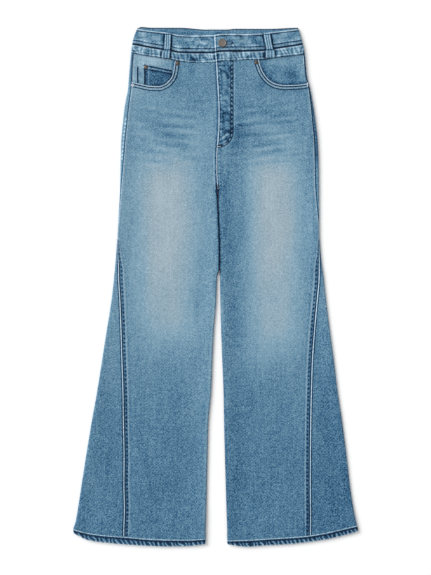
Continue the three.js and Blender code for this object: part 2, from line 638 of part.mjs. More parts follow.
// One tier of the waistband at the back, from side to side. It stands off the table over the belt loop.
function backBand(upper, lower) {
  const columns = [];
  const floor = (x) => {
    const off = Math.abs(x - BACK_LOOP.centre);
    return (LOOP_WALL + SEAM_GAP) * (1 - smoothstep(off, ...BACK_LOOP.clear));
  };
  for (const leg of [RIGHT_LEG, LEFT_LEG]) {
    const section = (y) => ({ outer: leg.outer(y), fold: BAND.fold, floor: (u) => floor(leg.sign * u) });
    const wayAt = (y, share) => {
      const length = (Math.PI / 2 - 1) * BAND.fold + leg.outer(y) - leg.sign * BACK_LOOP.centre;
      return -lerp(SEAM_GAP / 2, length, share);
    };
    const half = BACK_BAND_COLUMNS.map((share) => {
      const outwardAt = (y) => onSection(section(y), wayAt(y, share), 0).u;
      const [top, bottom] = [upper, lower].map((line) => meet((u) => line(leg.sign * u), outwardAt));
      return { leg, top, bottom, at: (y, depth) => onSection(section(y), wayAt(y, share), depth) };
    });
    columns.push(...(leg === RIGHT_LEG ? half : half.reverse()));
  }
  return wallFrom(HALVES, columns, [0, BAND_WALL], (row, column, depth) => {
    const y = lerp(column.top, column.bottom, row);
    const { u, z } = column.at(y, depth);
    return new THREE.Vector3(column.leg.sign * u, y, z);
  });
}

// What lies under the front: a facing behind each scoop, made from the front's own surface moved in.
function pocketFacing(leg) {
  const inner = leg.scoop[0].u - FACING_HEM;
  const bottom = Math.min(...leg.scoop.map((row) => row.y)) - FACING_HEM;
  const even = evenSteps(FACING_SIDE_COLUMNS.at(-1), 1, FACING_STEPS).slice(1);
  const shares = [...FACING_SIDE_COLUMNS, ...even];
  const wayAt = (y, share) => {
    const end = quarterFold(y) + leg.outer(y) - foldRadius(y) - inner;
    return lerp(leg.seam(y) + SEAM_GAP / 2, end, share);
  };
  const columns = shares.map((share) => {
    const outwardAt = (y) => leg.sign * onBody(leg, y, wayAt(y, share), 0).x;
    return { share, top: meet((u) => leg.bandBottom(u) - SEAM_GAP, outwardAt) };
  });
  const depths = [PANEL_WALL + SEAM_GAP, PANEL_WALL + SEAM_GAP + POCKET_WALL];
  return wallFrom(FACING_ROWS, columns, depths, (row, column, depth) => {
    const y = lerp(column.top, bottom, row);
    return onBody(leg, y, wayAt(y, column.share), depth);
  });
}

// A piece told by distances u and heights, on the front's surface moved in by a depth.
function onFront(leg, u, y, depth) {
  return new THREE.Vector3(leg.sign * u, y, frontTop(leg, u, y) - depth);
}

function coinPocket() {
  const { inner, outer, innerTop, outerTop, clear } = COIN_POCKET;
  const depths = [PANEL_WALL - POCKET_WALL, PANEL_WALL];
  return wallFrom(HALVES, COIN_COLUMNS, depths, (row, share, depth) => {
    const u = lerp(inner, outer, share);
    const bottom = RIGHT_LEG.scoopLine(u - clear) + clear;
    return onFront(RIGHT_LEG, u, lerp(lerp(innerTop, outerTop, share), bottom, row), depth);
  });
}

// The fly's facing under the left front, with the curved end that the stitch line shows.
function flyFacing() {
  const depths = [PANEL_WALL + 2 * SEAM_GAP, PANEL_WALL + 2 * SEAM_GAP + POCKET_WALL];
  const top = LEFT_LEG.bandBottom(FLY.stitch) - FLY.slope;
  return wallFrom(FLY_FACING_ROWS, FLY_FACING_COLUMNS, depths, (row, share, depth) => {
    const clear = FLY.underlap + SEAM_GAP;
    const bend = FLY.bendFrom - (FLY.bendFrom - FLY.bottom) * Math.sqrt(1 - share ** 2);
    const y = lerp(top, bend + PANEL_WALL, row);
    const u = lerp(flyEdge(y) + clear, FLY.stitch - FLY.slope, share);
    return onFront(LEFT_LEG, u, y, depth);
  });
}

// The closed zip under the fly, sewn to the right front's edge and to the facing.
function flyZip() {
  const rows = evenSteps(ZIP.top, ZIP.bottom, ZIP_ROWS);
  const columns = evenSteps(ZIP.left, ZIP.right, ZIP_COLUMNS);
  const depths = [PANEL_WALL + SEAM_GAP, PANEL_WALL + SEAM_GAP + ZIP_WALL];
  return wallFrom(rows, columns, depths, (y, x, depth) => {
    return new THREE.Vector3(x, y, middleTop(x, y) - depth);
  });
}

function frontLoop(leg, table) {
  const depths = [LOOP_WALL, 0];
  return wallFrom(table, HALVES, depths, (row, share, height) => {
    const u = row.u + (share - 0.5) * row.width;
    return new THREE.Vector3(leg.sign * u, row.y, 2 * BAND.fold + row.lift + height);
  });
}

function backLoop() {
  const { centre, width, top, bottom } = BACK_LOOP;
  const edges = [centre - width / 2, centre + width / 2];
  return wallFrom([top, bottom], edges, [0, LOOP_WALL], (y, x, height) => {
    return new THREE.Vector3(x, y, height);
  });
}

// A round metal piece from a profile of radii and heights.
function turned(profile, segments) {
  const outline = profile.map(({ radius, height }) => new THREE.Vector2(radius, height));
  return new THREE.LatheGeometry(outline, segments).rotateX(Math.PI / 2);
}

function shankButton() {
  const { radius, shank } = BUTTON;
  const cap = BAND_WALL + BUTTON_CLEAR;
  const outline = BUTTON_PROFILE.map((row) => ({ radius: radius - row.in, height: cap + row.up }));
  const stem = [0, shank].map((r) => ({ radius: r, height: 0 }));
  const middle = { radius: 0, height: outline.at(-1).height };
  return turned([...stem, { radius: shank, height: cap }, ...outline, middle], ROUND_SEGMENTS.button);
}

// A boolean cut of one closed geometry by another.
function cut(geometry, tool) {
  const solidOf = (source) => {
    const bare = source.index ? source.toNonIndexed() : source.clone();
    bare.deleteAttribute("normal");
    bare.deleteAttribute("uv");
    const merged = mergeVertices(bare, WELD);
    const vertProperties = merged.attributes.position.array;
    const triVerts = new Uint32Array(merged.index.array);
    return new wasm.Manifold(new wasm.Mesh({ numProp: 3, vertProperties, triVerts }));
  };
  const left = solidOf(geometry).subtract(solidOf(tool)).getMesh();
  const result = new THREE.BufferGeometry();
  result.setAttribute("position", new THREE.BufferAttribute(new Float32Array(left.vertProperties), 3));
  result.setIndex(new THREE.BufferAttribute(new Uint32Array(left.triVerts), 1));
  result.computeVertexNormals();
  return result;
}

// The keyhole: an eye round the button's shank and a slit away from the band's end.
function keyhole() {
  const { x, y, hole, slit, slitEnd } = BUTTON;
  const start = Math.asin(slit / 2 / hole);
  const shape = new THREE.Shape();
  shape.moveTo(slitEnd - x, slit / 2);
  shape.lineTo(hole * Math.cos(start), slit / 2);
  shape.absarc(0, 0, hole, start, 2 * Math.PI - start);
  shape.lineTo(slitEnd - x, -slit / 2);
  const depth = 6 * BAND.fold;
  const options = { depth, bevelEnabled: false, curveSegments: ROUND_SEGMENTS.hole };
  return new THREE.ExtrudeGeometry(shape, options).translate(x, y, 0);
}

// Rises of the wearer's left band end over the right one, and over the fly
const { upperRamp, lowerRamp, flyRamp } = BAND;
const upperRise = (u) => (BAND_WALL + SEAM_GAP) * (1 - smoothstep(u, ...upperRamp));
const lowerRise = (u) => {
  const overEnd = (BAND_WALL + SEAM_GAP) * (1 - smoothstep(u, ...lowerRamp));
  return Math.max(overEnd, FLY.rise * (1 - smoothstep(u, ...flyRamp)));
};
const level = () => 0;
const below = (line) => (at) => line(at) - SEAM_GAP / 2;
const above = (line) => (at) => line(at) + SEAM_GAP / 2;

const jeans = new THREE.Group();
function add(name, geometry, colour, metalness = 0, roughness = 0.9) {
  const material = new THREE.MeshStandardMaterial({ color: colour, metalness, roughness });
  const mesh = new THREE.Mesh(geometry, material);
  mesh.name = name;
  jeans.add(mesh);
  return mesh;
}

for (const [side, leg] of Object.entries({ right: RIGHT_LEG, left: LEFT_LEG })) {
  add(`front_${side}_leg`, frontPanel(leg), COLOURS.denim);
  add(`back_${side}_leg`, backPanel(leg), COLOURS.denim);
  add(`side_flare_${side}`, sideFlare(leg), COLOURS.denim);
  add(`hem_${side}`, hemRing(leg), COLOURS.darkDenim);
  add(`pocket_facing_${side}`, pocketFacing(leg), COLOURS.paleDenim);
}

const rightEnd = () => -BAND.underlap;
const rightLowerEnd = () => -BAND.lowerEnd;
const [R, L] = [RIGHT_LEG, LEFT_LEG];
const rightUpper = frontBand(R, R.bandTop, above(R.bandMiddle), rightEnd, level);
const rightLower = frontBand(R, below(R.bandMiddle), R.bandBottom, rightLowerEnd, level);
const leftUpper = cut(frontBand(L, L.bandTop, above(L.bandMiddle), flyEdge, upperRise), keyhole());
const leftLower = frontBand(L, below(L.bandMiddle), L.bandBottom, flyEdge, lowerRise);
add("waistband_upper_front_right", rightUpper, COLOURS.denim);
add("waistband_lower_front_right", rightLower, COLOURS.denim);
add("waistband_upper_front_left", leftUpper, COLOURS.denim);
add("waistband_lower_front_left", leftLower, COLOURS.denim);
add("waistband_upper_back", backBand(backTop, above(backMiddle)), COLOURS.denim);
add("waistband_lower_back", backBand(below(backMiddle), backBottom), COLOURS.denim);

add("coin_pocket", coinPocket(), COLOURS.darkDenim);
add("fly_facing", flyFacing(), COLOURS.denim);
add("fly_zip", flyZip(), COLOURS.tape);
add("belt_loop_front_right", frontLoop(R, RIGHT_LOOP), COLOURS.denim);
add("belt_loop_front_left", frontLoop(L, LEFT_LOOP), COLOURS.denim);
add("belt_loop_centre_back", backLoop(), COLOURS.darkDenim);

const button = add("waist_button", shankButton(), COLOURS.metal, 0.8, 0.45);
button.position.set(BUTTON.x, BUTTON.y, 2 * BAND.fold + SEAM_GAP);
for (const { name, x, y, sunk } of RIVETS) {
  const leg = x < 0 ? RIGHT_LEG : LEFT_LEG;
  const mesh = add(name, turned(RIVET_PROFILE, ROUND_SEGMENTS.rivet), COLOURS.copper, 0.8, 0.4);
  mesh.position.set(x, y, frontTop(leg, leg.sign * x, y) - sunk + SEAM_GAP);
}

export default jeans;
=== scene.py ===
# Flared jeans laid flat on their back, fly up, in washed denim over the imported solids.
# Shapes are worked out in millimetres, as the solids are, and turned into metres where a mesh is made.
import json
import math

import bmesh
import bpy
import numpy as np
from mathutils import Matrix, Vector

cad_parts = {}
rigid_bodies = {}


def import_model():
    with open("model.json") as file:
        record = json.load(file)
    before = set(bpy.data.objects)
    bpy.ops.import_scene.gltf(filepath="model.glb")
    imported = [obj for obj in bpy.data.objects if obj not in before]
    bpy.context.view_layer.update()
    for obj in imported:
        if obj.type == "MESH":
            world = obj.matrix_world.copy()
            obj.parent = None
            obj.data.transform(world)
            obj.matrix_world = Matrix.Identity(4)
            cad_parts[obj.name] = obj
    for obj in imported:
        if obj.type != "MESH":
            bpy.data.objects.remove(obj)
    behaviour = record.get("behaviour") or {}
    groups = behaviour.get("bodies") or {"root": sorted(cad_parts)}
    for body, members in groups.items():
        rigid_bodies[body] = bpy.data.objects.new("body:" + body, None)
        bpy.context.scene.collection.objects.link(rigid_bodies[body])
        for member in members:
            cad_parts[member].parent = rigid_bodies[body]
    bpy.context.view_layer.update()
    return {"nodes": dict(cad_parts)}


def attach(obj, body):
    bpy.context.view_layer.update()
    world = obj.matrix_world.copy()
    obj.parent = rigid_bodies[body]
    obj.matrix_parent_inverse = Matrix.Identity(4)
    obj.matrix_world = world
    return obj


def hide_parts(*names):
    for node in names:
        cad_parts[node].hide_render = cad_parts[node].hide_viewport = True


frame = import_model()
print("frame loaded:", len(frame["nodes"]), "solids")

millimetre = 0.001
cloth = {"panel": 1.2, "pocket": 1.0, "band": 2.4, "hem": 2.6, "loop": 1.5, "gap": 0.3, "seamGap": 0.08}

# the garment's shape: the solids' own tables, with the flare seams and inner edges set closer to the picture
# height along the garment, radius of the side folds, height of the front's face
thickness = [(532, 3.4, 6.2), (330, 3.4, 6.2), (200, 3.0, 4.8), (90, 2.9, 4.0), (-420, 2.9, 4.0),
             (-486, 3.8, 5.2), (-532, 3.8, 5.2)]
shape = {
    "sag": 30, "waveHeight": 0.35, "waveAcross": 150, "waveAlong": 310,
    "ridgeHeight": 0.5, "ridgeWidth": 4, "crotch": 199, "crotchTurn": 24, "flareTop": 107,
    "centreBack": 4.2, "flyStitch": 34.5, "flyBend": 318, "flyBottom": 287, "flyRise": 1.6,
    "flySlope": 4, "flyUnder": 6, "flyFade": 14, "lowest": -482,
}
# outline: height, outer fold, side seam along the cloth from that fold, inner edge
# the back round the side fold: height, how much paler it is there, painted light on the right leg and painted shade,
# below zero, on the left
# scoop: distance out from the centre, height; waist: distance, top, middle, bottom
# hem: share of the way inward, stitch line, edge
rightLeg = {
    "sign": -1,
    "wrapWear": [(400, 0), (370, 0.1), (110, 0.1)],
    "outline": [
        (532, 160, 6.9, -3.6), (506, 169.5, 6.9, -3.6), (478, 173.5, 6.9, -3.6), (433, 177.5, 8.3, -3.6),
        (408, 179.5, 9.1, -3.6), (375, 185.7, 11.1, -3.6), (342, 189.8, 11.7, -3.6), (293, 193.9, 10.7, -3.6),
        (228, 195.4, 6.2, -3.6), (197, 196.2, 4.2, -3.6), (146, 199, 2.2, -5.7), (107, 201.1, 0, -7.3),
        (99, 201.6, 1.9, -7.5), (62, 204.6, 5.6, -8.3), (34, 207, 8.8, -7.8),
        (24, 208, 9.8, -3.6), (16, 208.7, 10.7, -2.8), (-27, 213.6, 17.9, -1.2),
        (-84, 222.6, 29.2, 3.3), (-150, 232.9, 41.5, 6.6), (-215, 243.1, 53.8, 9.2), (-281, 255, 66.6, 14.9),
        (-346, 265.7, 78.7, 16.6), (-412, 275.9, 88.6, 18.2), (-458, 282.9, 97, 19.2),
        (-482, 287.4, 101, 19.8), (-496, 292, 105, 20.4),
    ],
    "scoop": [(83.6, 464), (85.5, 447.9), (88.8, 432.6), (96.6, 421.9), (104.6, 415.3), (117.5, 411.4),
              (133.3, 412.1), (150.3, 415.3), (172.4, 420.4)],
    "waist": [(-60, 515.6, 484.6, 464.2), (-4, 515.6, 484.6, 464.2), (1, 515.6, 480.4, 460.8),
              (40, 515.0, 480.3, 459.4), (74, 516.0, 481.1, 462.8), (92, 519.9, 484.6, 466.6),
              (117, 523.0, 488.3, 470.5), (150, 526.9, 494.3, 475.2), (162, 528.9, 496.7, 477.7),
              (174, 530.5, 498.6, 480.1)],
    "hem": [(0, -496, -504), (0.12, -504.7, -519.3), (0.25, -509.2, -524), (0.4, -512.3, -527.7),
            (0.55, -515.8, -530.1), (0.7, -517.4, -531.6), (0.85, -517.8, -531), (1, -515.4, -526.5)],
}
leftLeg = {
    "sign": 1,
    "wrapWear": [(420, -0.1), (385, -0.28), (275, -0.28), (245, -0.04), (110, 0)],
    "outline": [
        (532, 169, 4.9, 4.9), (506, 177, 4.9, 4.9), (478, 183, 4.9, 4.9), (433, 187.5, 5.3, 4.9),
        (408, 193.5, 5.5, 4.9), (375, 199.7, 7.3, 4.9), (342, 204.6, 9.1, 4.9), (293, 209.9, 9.8, 4.9),
        (228, 212, 10.5, 4.9), (197, 212.3, 9.3, 4.3), (146, 212.6, 4.7, 5.9), (107, 212.9, 0, 7.5),
        (99, 213.4, 1.9, 7.7), (62, 216.2, 4.6, 8.5), (16, 222, 10.6, 8.9), (-27, 226.6, 18.9, 9.6),
        (-84, 233.7, 31, 11.1), (-150, 242.5, 44.5, 13.7), (-215, 250.5, 54.7, 16.2),
        (-281, 260.1, 65.7, 17.4), (-346, 268.6, 74.9, 19), (-412, 276.1, 82.5, 20.9),
        (-458, 283.3, 89.6, 22.3), (-482, 288.2, 94.7, 23.2), (-496, 292, 98.8, 23.8),
    ],
    "scoop": [(88.6, 466), (91.6, 454.1), (98.2, 438.7), (110.5, 423.7), (123.8, 416.5), (142.3, 413.5),
              (168.9, 414.5), (190.4, 417.4)],
    "waist": [(-3, 515.8, 480.9, 460.8), (15, 518.0, 483.0, 462.9), (61, 517.8, 483.6, 465.3),
              (98, 519.9, 485.2, 466.4), (120, 522.8, 488.7, 469.9), (150, 526.0, 493.4, 473.6),
              (168, 528.5, 495.9, 475.6), (183, 530.5, 499.6, 477.7)],
    "hem": [(0, -488.5, -500.2), (0.12, -496.1, -509.6), (0.25, -504.3, -517.4), (0.4, -510.5, -523.2),
            (0.55, -513.3, -527.3), (0.7, -515.8, -529.3), (0.85, -518.2, -532), (1, -519.2, -527)],
}
# across, top, middle, bottom of the back waistband
backWaist = [(-174, 529.4, 498.6, 480.1), (-161, 529.4, 498.2, 479.6), (-153, 532.2, 497.8, 479.2),
             (-130, 530.6, 497, 478.4), (-73, 530.5, 495, 476.4), (-14, 526.6, 493, 474.4),
             (20, 526.6, 493, 474.4), (40, 528.4, 493.6, 475), (110, 528.2, 496, 476.4),
             (160, 530.4, 498.6, 477.4), (183, 530.6, 499.6, 477.7)]
flyEdgeRows = [(532, -2.5), (517, -2.5), (476, -0.6), (459, 1.2), (428, 2.9), (396, 4.9), (362, 6.4),
               (326, 5.9), (302, 4.1), (271, 1.8), (239, 1.8), (199, 4.2)]


def smoothstep(value, low, high):
    t = np.clip((value - low) / (high - low), 0, 1)
    return t * t * (3 - 2 * t)


def lerp(start, end, share):
    return start + (end - start) * share


def smoothLine(rows, column):  # a smooth line through a table that doesn't overshoot between rows
    points = np.array(sorted((row[0], row[column]) for row in rows), float)
    xs, values = points[:, 0], points[:, 1]
    slopes = np.diff(values) / np.diff(xs)
    before = np.concatenate([slopes[:1], slopes])
    after = np.concatenate([slopes, slopes[-1:]])
    same = before * after > 0
    tangents = np.where(same, 2 * before * after / np.where(same, before + after, 1), 0)

    def at(where):
        where = np.clip(np.asarray(where, float), xs[0], xs[-1])
        i = np.clip(np.searchsorted(xs, where), 1, len(xs) - 1)
        width = xs[i] - xs[i - 1]
        t = (where - xs[i - 1]) / width
        start = values[i - 1] * (1 + 2 * t) + tangents[i - 1] * width * t
        end = values[i] * (3 - 2 * t) - tangents[i] * width * (1 - t)
        return start * (1 - t) ** 2 + end * t ** 2

    return at


foldRadius = smoothLine(thickness, 1)
middleHeight = smoothLine(thickness, 2)
flyEdge = smoothLine(flyEdgeRows, 1)
backTop, backMiddle, backBottom = [smoothLine(backWaist, column) for column in (1, 2, 3)]
for leg in (rightLeg, leftLeg):
    leg["outer"], leg["seam"], leg["inner"] = [smoothLine(leg["outline"], c) for c in (1, 2, 3)]
    leg["scoopLine"] = smoothLine(leg["scoop"], 1)
    leg["bandTop"], leg["bandMiddle"], leg["bandBottom"] = [smoothLine(leg["waist"], c) for c in (1, 2, 3)]
    leg["hemStitch"], leg["hemEdge"] = [smoothLine(leg["hem"], c) for c in (1, 2)]


def quarterFold(y):
    return math.pi / 2 * foldRadius(y)


def legShare(y):  # 0 over the hips, 1 down the legs
    return 1 - smoothstep(y, shape["crotch"] - shape["crotchTurn"], shape["crotch"])


def middleTop(x, y):
    wave = np.sin(2 * np.pi * x / shape["waveAcross"]) * np.cos(2 * np.pi * y / shape["waveAlong"])
    return middleHeight(y) + shape["waveHeight"] * wave


def insideFly(x, y):  # how far inside the fly's curved stitch line
    width = shape["flyStitch"] - flyEdge(y)
    drop = (shape["flyBend"] - y) / (shape["flyBend"] - shape["flyBottom"])
    bend = width * (1 - np.hypot((x - flyEdge(y)) / width, np.maximum(drop, 0)))
    return np.where(y >= shape["flyBend"], shape["flyStitch"] - x, bend)


def offSideSeam(leg, u, y):  # across the front from the side seam towards the centre
    return leg["outer"](y) - (leg["seam"](y) - quarterFold(y) + foldRadius(y)) - u


def noiseField(seed, across, along, waves=7):  # slow random relief, about -1 to 1
    maker = np.random.default_rng(seed)
    angles, sizes = maker.uniform(0, np.pi, waves), maker.uniform(0.6, 1.7, waves)
    phases = maker.uniform(0, 2 * np.pi, waves)

    def at(x, y):
        total = 0
        for angle, size, phase in zip(angles, sizes, phases):
            turn = math.cos(angle) * x / across + math.sin(angle) * y / along
            total = total + np.sin(2 * np.pi * size * turn + phase)
        return total / math.sqrt(waves)

    return at


# creases, in millimetres of height
creases = {
    "swell": 0.25, "whisker": 0.16, "whiskerTilt": 0.12, "seamPucker": 0.22, "seamPitch": 10.3,
    "flyPucker": 0.4, "flyPitch": 19, "bandPucker": 0.5, "bandPitch": 8.8, "bandLean": 0.25, "hemRope": 0.45,
    "hemPitch": 9,
}
swellNoise = noiseField(3, 95, 170)
whiskerNoise = noiseField(5, 150, 17, 9)
puckerNoise = noiseField(8, 17, 26)
blotches = noiseField(31, 13, 9, 9)
mottle = noiseField(21, 60, 140, 9)
streaks = noiseField(23, 9, 190, 11)

# how worn the cloth is, 0 deep indigo to 1 nearly white, the same scale that painted light and shade are added on:
# first down the garment, height and wear
washByHeight = smoothLine([(465, 0.5), (375, 0.52), (281, 0.57), (178, 0.6), (-27, 0.57), (-129, 0.52),
                           (-191, 0.45), (-252, 0.39), (-314, 0.35), (-396, 0.32), (-519, 0.31)], 1)
# the worn fade down each thigh: its middle, reach, the heights it runs between, strength
fades = [
    {"x": -101, "reach": 58, "low": -168, "lowFull": -45, "highFull": 205, "high": 305, "amount": 0.39},
    {"x": 120, "reach": 52, "low": -205, "lowFull": -60, "highFull": 215, "high": 310, "amount": 0.37},
]
# broad lighter and darker places: middle, size, strength; the two dark places beside the crotch are painted shade where
# the legs lie close
places = [
    {"x": 43, "y": 120, "across": 24, "along": 260, "amount": -0.17},
    {"x": 40, "y": -330, "across": 24, "along": 170, "amount": -0.05},
    {"x": -25, "y": -300, "across": 26, "along": 200, "amount": 0.09},
    {"x": 205, "y": 120, "across": 22, "along": 230, "amount": -0.12},
    {"x": -140, "y": 370, "across": 40, "along": 45, "amount": 0.08},
    {"x": -40, "y": 290, "across": 30, "along": 45, "amount": 0.09},
    {"x": 245, "y": -190, "across": 40, "along": 110, "amount": -0.1},
    {"x": 262, "y": -420, "across": 42, "along": 150, "amount": -0.09},
    {"x": -215, "y": -110, "across": 18, "along": 90, "amount": 0.06},
    {"x": -175, "y": -420, "across": 16, "along": 160, "amount": 0.05},
    # painted shade beside the crotch, where the legs lie close
    {"x": 20, "y": 120, "across": 14, "along": 115, "amount": -0.2},
    {"x": 46, "y": 348, "across": 12, "along": 30, "amount": -0.1},
    {"x": -262, "y": -290, "across": 28, "along": 190, "amount": 0.09},
    {"x": 195, "y": -273, "across": 15, "along": 90, "amount": 0.1},
    {"x": -50, "y": 450, "across": 13, "along": 45, "amount": -0.1},
    {"x": 75, "y": 345, "across": 35, "along": 45, "amount": -0.07},
    {"x": 199, "y": 330, "across": 6, "along": 55, "amount": -0.22},
    {"x": -178, "y": 405, "across": 7, "along": 26, "amount": 0.16},
    # painted shade beside the crotch, where the legs lie close
    {"x": 13, "y": 205, "across": 10, "along": 30, "amount": -0.15},
    {"x": 52, "y": 360, "across": 12, "along": 60, "amount": -0.06},
    {"x": -82, "y": 427, "across": 10, "along": 24, "amount": -0.2},
    {"x": 91, "y": 414, "across": 17, "along": 16, "amount": -0.17},
    {"x": 160, "y": 406, "across": 32, "along": 9, "amount": -0.13},
    {"x": -168, "y": 401, "across": 12, "along": 8, "amount": 0.17},
    {"x": -150, "y": 265, "across": 30, "along": 25, "amount": 0.06},
    {"x": 196, "y": 135, "across": 8, "along": 60, "amount": 0.08},
    {"x": -230, "y": -440, "across": 45, "along": 110, "amount": 0.05},
    {"x": 46, "y": 302, "across": 9, "along": 22, "amount": -0.15},
    {"x": 30, "y": -45, "across": 15, "along": 70, "amount": -0.11},
    {"x": -38, "y": -35, "across": 12, "along": 45, "amount": -0.1},
]


def whiskers(x, y):  # the worn streaks across each hip
    out = np.abs(x)
    window = smoothstep(y, 225, 285) * (1 - smoothstep(y, 345, 395))
    window = window * smoothstep(out, 12, 45) * (1 - smoothstep(out, 140, 190))
    return window * whiskerNoise(x, y - creases["whiskerTilt"] * out)


def spotWearAndShade(spots, x, y):
    wornAndShaded = 0
    for spot in spots:
        out = x - spot["x"]
        up = y - spot["y"] - spot.get("lean", 0) * out
        wornAndShaded = wornAndShaded + spot["amount"] * np.exp(-(out / spot["across"]) ** 2 - (up / spot["along"]) ** 2)
    return wornAndShaded


def washAndShadeAt(x, y):
    washAndShade = washByHeight(y) + 0.02 * mottle(x, y) + 0.014 * streaks(x, y)
    for fade in fades:
        window = smoothstep(y, fade["low"], fade["lowFull"])
        window = window * (1 - smoothstep(y, fade["highFull"], fade["high"]))
        strength = lerp(0.8, 1, smoothstep(y, -60, 150))
        across = np.exp(-(np.abs(x - fade["x"]) / fade["reach"]) ** 3)
        washAndShade = washAndShade + fade["amount"] * window * strength * across
    return washAndShade + spotWearAndShade(places, x, y) + 0.11 * whiskers(x, y)


def frontRelief(leg, u, y):
    x = leg["sign"] * u
    relief = creases["swell"] * swellNoise(x, y) + creases["whisker"] * whiskers(x, y)
    inSeam = np.exp(-((offSideSeam(leg, u, y) - 5) / 3.5) ** 2)
    ripple = np.sin(2 * np.pi * y / creases["seamPitch"] + 1.3 * puckerNoise(x, y))
    relief = relief + creases["seamPucker"] * inSeam * ripple
    if leg is leftLeg:
        inside = insideFly(x, y)
        placket = smoothstep(inside, 0, 5) * smoothstep(y, 285, 300) * (1 - smoothstep(y, 445, 460))
        fold = np.sin(2 * np.pi * (y + 0.8 * x) / creases["flyPitch"] + 1.6 * puckerNoise(x, y))
        relief = relief + creases["flyPucker"] * placket * fold
    return relief


def noRelief(leg, u, y):
    return 0 * u


def frontTop(leg, u, y, relief=frontRelief):  # the front's outer face, between the folds
    x = leg["sign"] * u
    fold = foldRadius(y)
    middle = middleTop(x, y)
    fromOuter = 1 - smoothstep(leg["outer"](y) - fold - u, 0, shape["sag"])
    fromInner = legShare(y) * (1 - smoothstep(u - leg["inner"](y) - fold, 0, shape["sag"]))
    ridge = shape["ridgeHeight"] * np.exp(-(offSideSeam(leg, u, y) / shape["ridgeWidth"]) ** 2)
    started = smoothstep(shape["flareTop"] - y, 0, shape["sag"])
    rise = 0
    if leg is leftLeg:
        rise = shape["flyRise"] * smoothstep(insideFly(x, y), -shape["flySlope"], shape["flySlope"])
    folded = np.clip(fromOuter + fromInner, 0, 1)
    top = middle + (2 * fold - middle) * folded + ridge * started + rise
    return top + relief(leg, u, y) * (1 - 0.6 * folded)


def centreEdge(leg, y, isBack):
    if leg is leftLeg:
        front = flyEdge(y)
    else:
        under = shape["flyUnder"] * smoothstep(y, shape["flyBend"] - shape["flyFade"], shape["flyBend"])
        front = cloth["gap"] - flyEdge(y) - under
    return np.where(isBack, leg["sign"] * shape["centreBack"] + cloth["gap"] / 2, front)


def hipLength(leg, y, isBack):
    return quarterFold(y) + leg["outer"](y) - centreEdge(leg, y, isBack) - foldRadius(y)


def legLength(leg, y):
    return 2 * quarterFold(y) + leg["outer"](y) - leg["inner"](y) - 2 * foldRadius(y)


def clothLength(leg, y, isBack):
    return lerp(hipLength(leg, y, isBack), legLength(leg, y), legShare(y))


def onSection(section, way, depth):
    # way runs along the cloth from the outer fold's tip, over the front or, below 0, under the back
    outer, fold, top = section["outer"], section["fold"], section["top"]
    quarter = math.pi / 2 * fold
    reach = np.abs(way)
    inward = fold - depth
    angle = np.clip(way / fold, -math.pi / 2, math.pi / 2)
    u = np.where(reach <= quarter, outer - fold + inward * np.cos(angle), outer - fold - (reach - quarter))
    below = depth + section["floor"](u) if "floor" in section else depth
    z = np.where(way < 0, below, top(u) - depth)
    z = np.where(reach <= quarter, fold + inward * np.sin(angle), z)
    if "inner" in section:
        start = section["inner"] + fold
        turned = (reach > quarter) & (u < start)
        angle = np.clip((start - u) / fold, 0, math.pi / 2)
        z = np.where(turned, fold + np.sign(way) * inward * np.cos(angle), z)
        u = np.where(turned, start - inward * np.sin(angle), u)
    return u, z


def onBody(leg, y, way, depth, relief=frontRelief):
    isBack = way < 0
    share = legShare(y)
    length = clothLength(leg, y, isBack)
    section = {"outer": leg["outer"](y), "fold": foldRadius(y)}
    section["top"] = lambda u: frontTop(leg, u, y, relief)
    hip = onSection(section, way * hipLength(leg, y, isBack) / length, depth)
    section["inner"] = leg["inner"](y)
    limb = onSection(section, way * legLength(leg, y) / length, depth)
    return np.stack([leg["sign"] * lerp(hip[0], limb[0], share), y + 0 * way, lerp(hip[1], limb[1], share)], -1)


def meet(line, outwardAt, count):  # the height at which each column meets a line told across
    below, above = np.full(count, 380.0), np.full(count, 540.0)
    for _ in range(34):
        y = (below + above) / 2
        under = y < line(outwardAt(y))
        below, above = np.where(under, y, below), np.where(under, above, y)
    return below


def shareAcross(leg, u, y):
    return np.clip((leg["outer"](y) - u) / (leg["outer"](y) - leg["inner"](y)), 0, 1)


def hemShare(leg, way):  # where a way reaches the hem, as a share of the leg's width
    y = np.full(np.shape(way), float(shape["lowest"]))
    return shareAcross(leg, leg["sign"] * onBody(leg, y, way, 0, noRelief)[..., 0], y)


def distanceTo(x, y, line):  # from every point of a grid to a line of points
    best = np.full(np.shape(x), 1e9)
    for (ax, ay), (bx, by) in zip(line[:-1], line[1:]):
        dx, dy = bx - ax, by - ay
        t = np.clip(((x - ax) * dx + (y - ay) * dy) / (dx * dx + dy * dy), 0, 1)
        best = np.minimum(best, np.hypot(x - ax - t * dx, y - ay - t * dy))
    return best


# meshes

def setValues(mesh, values):
    for key, value in values.items():
        attribute = mesh.attributes.new(key, "FLOAT", "POINT")
        attribute.data.foreach_set("value", np.asarray(value, np.float32).ravel())


def addMesh(name, points, faces, material, values=None, nodes=()):
    mesh = bpy.data.meshes.new(name)
    faces = np.asarray(faces, np.int32)
    mesh.vertices.add(len(points))
    mesh.vertices.foreach_set("co", (np.asarray(points) * millimetre).astype(np.float32).ravel())
    mesh.loops.add(faces.size)
    mesh.loops.foreach_set("vertex_index", faces.ravel())
    mesh.polygons.add(len(faces))
    starts = np.arange(len(faces), dtype=np.int32) * faces.shape[1]
    mesh.polygons.foreach_set("loop_start", starts)
    mesh.update(calc_edges=True)
    setValues(mesh, values or {})
    mesh.materials.append(material)
    mesh.shade_smooth()
    mesh.set_sharp_from_angle(angle=math.radians(50))
    piece = bpy.data.objects.new(name, mesh)
    bpy.context.scene.collection.objects.link(piece)
    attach(piece, "root")
    if nodes:
        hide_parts(*nodes)
    return piece


def quads(a, b, c, d):
    return np.stack([corner.ravel() for corner in (a, b, c, d)], -1)


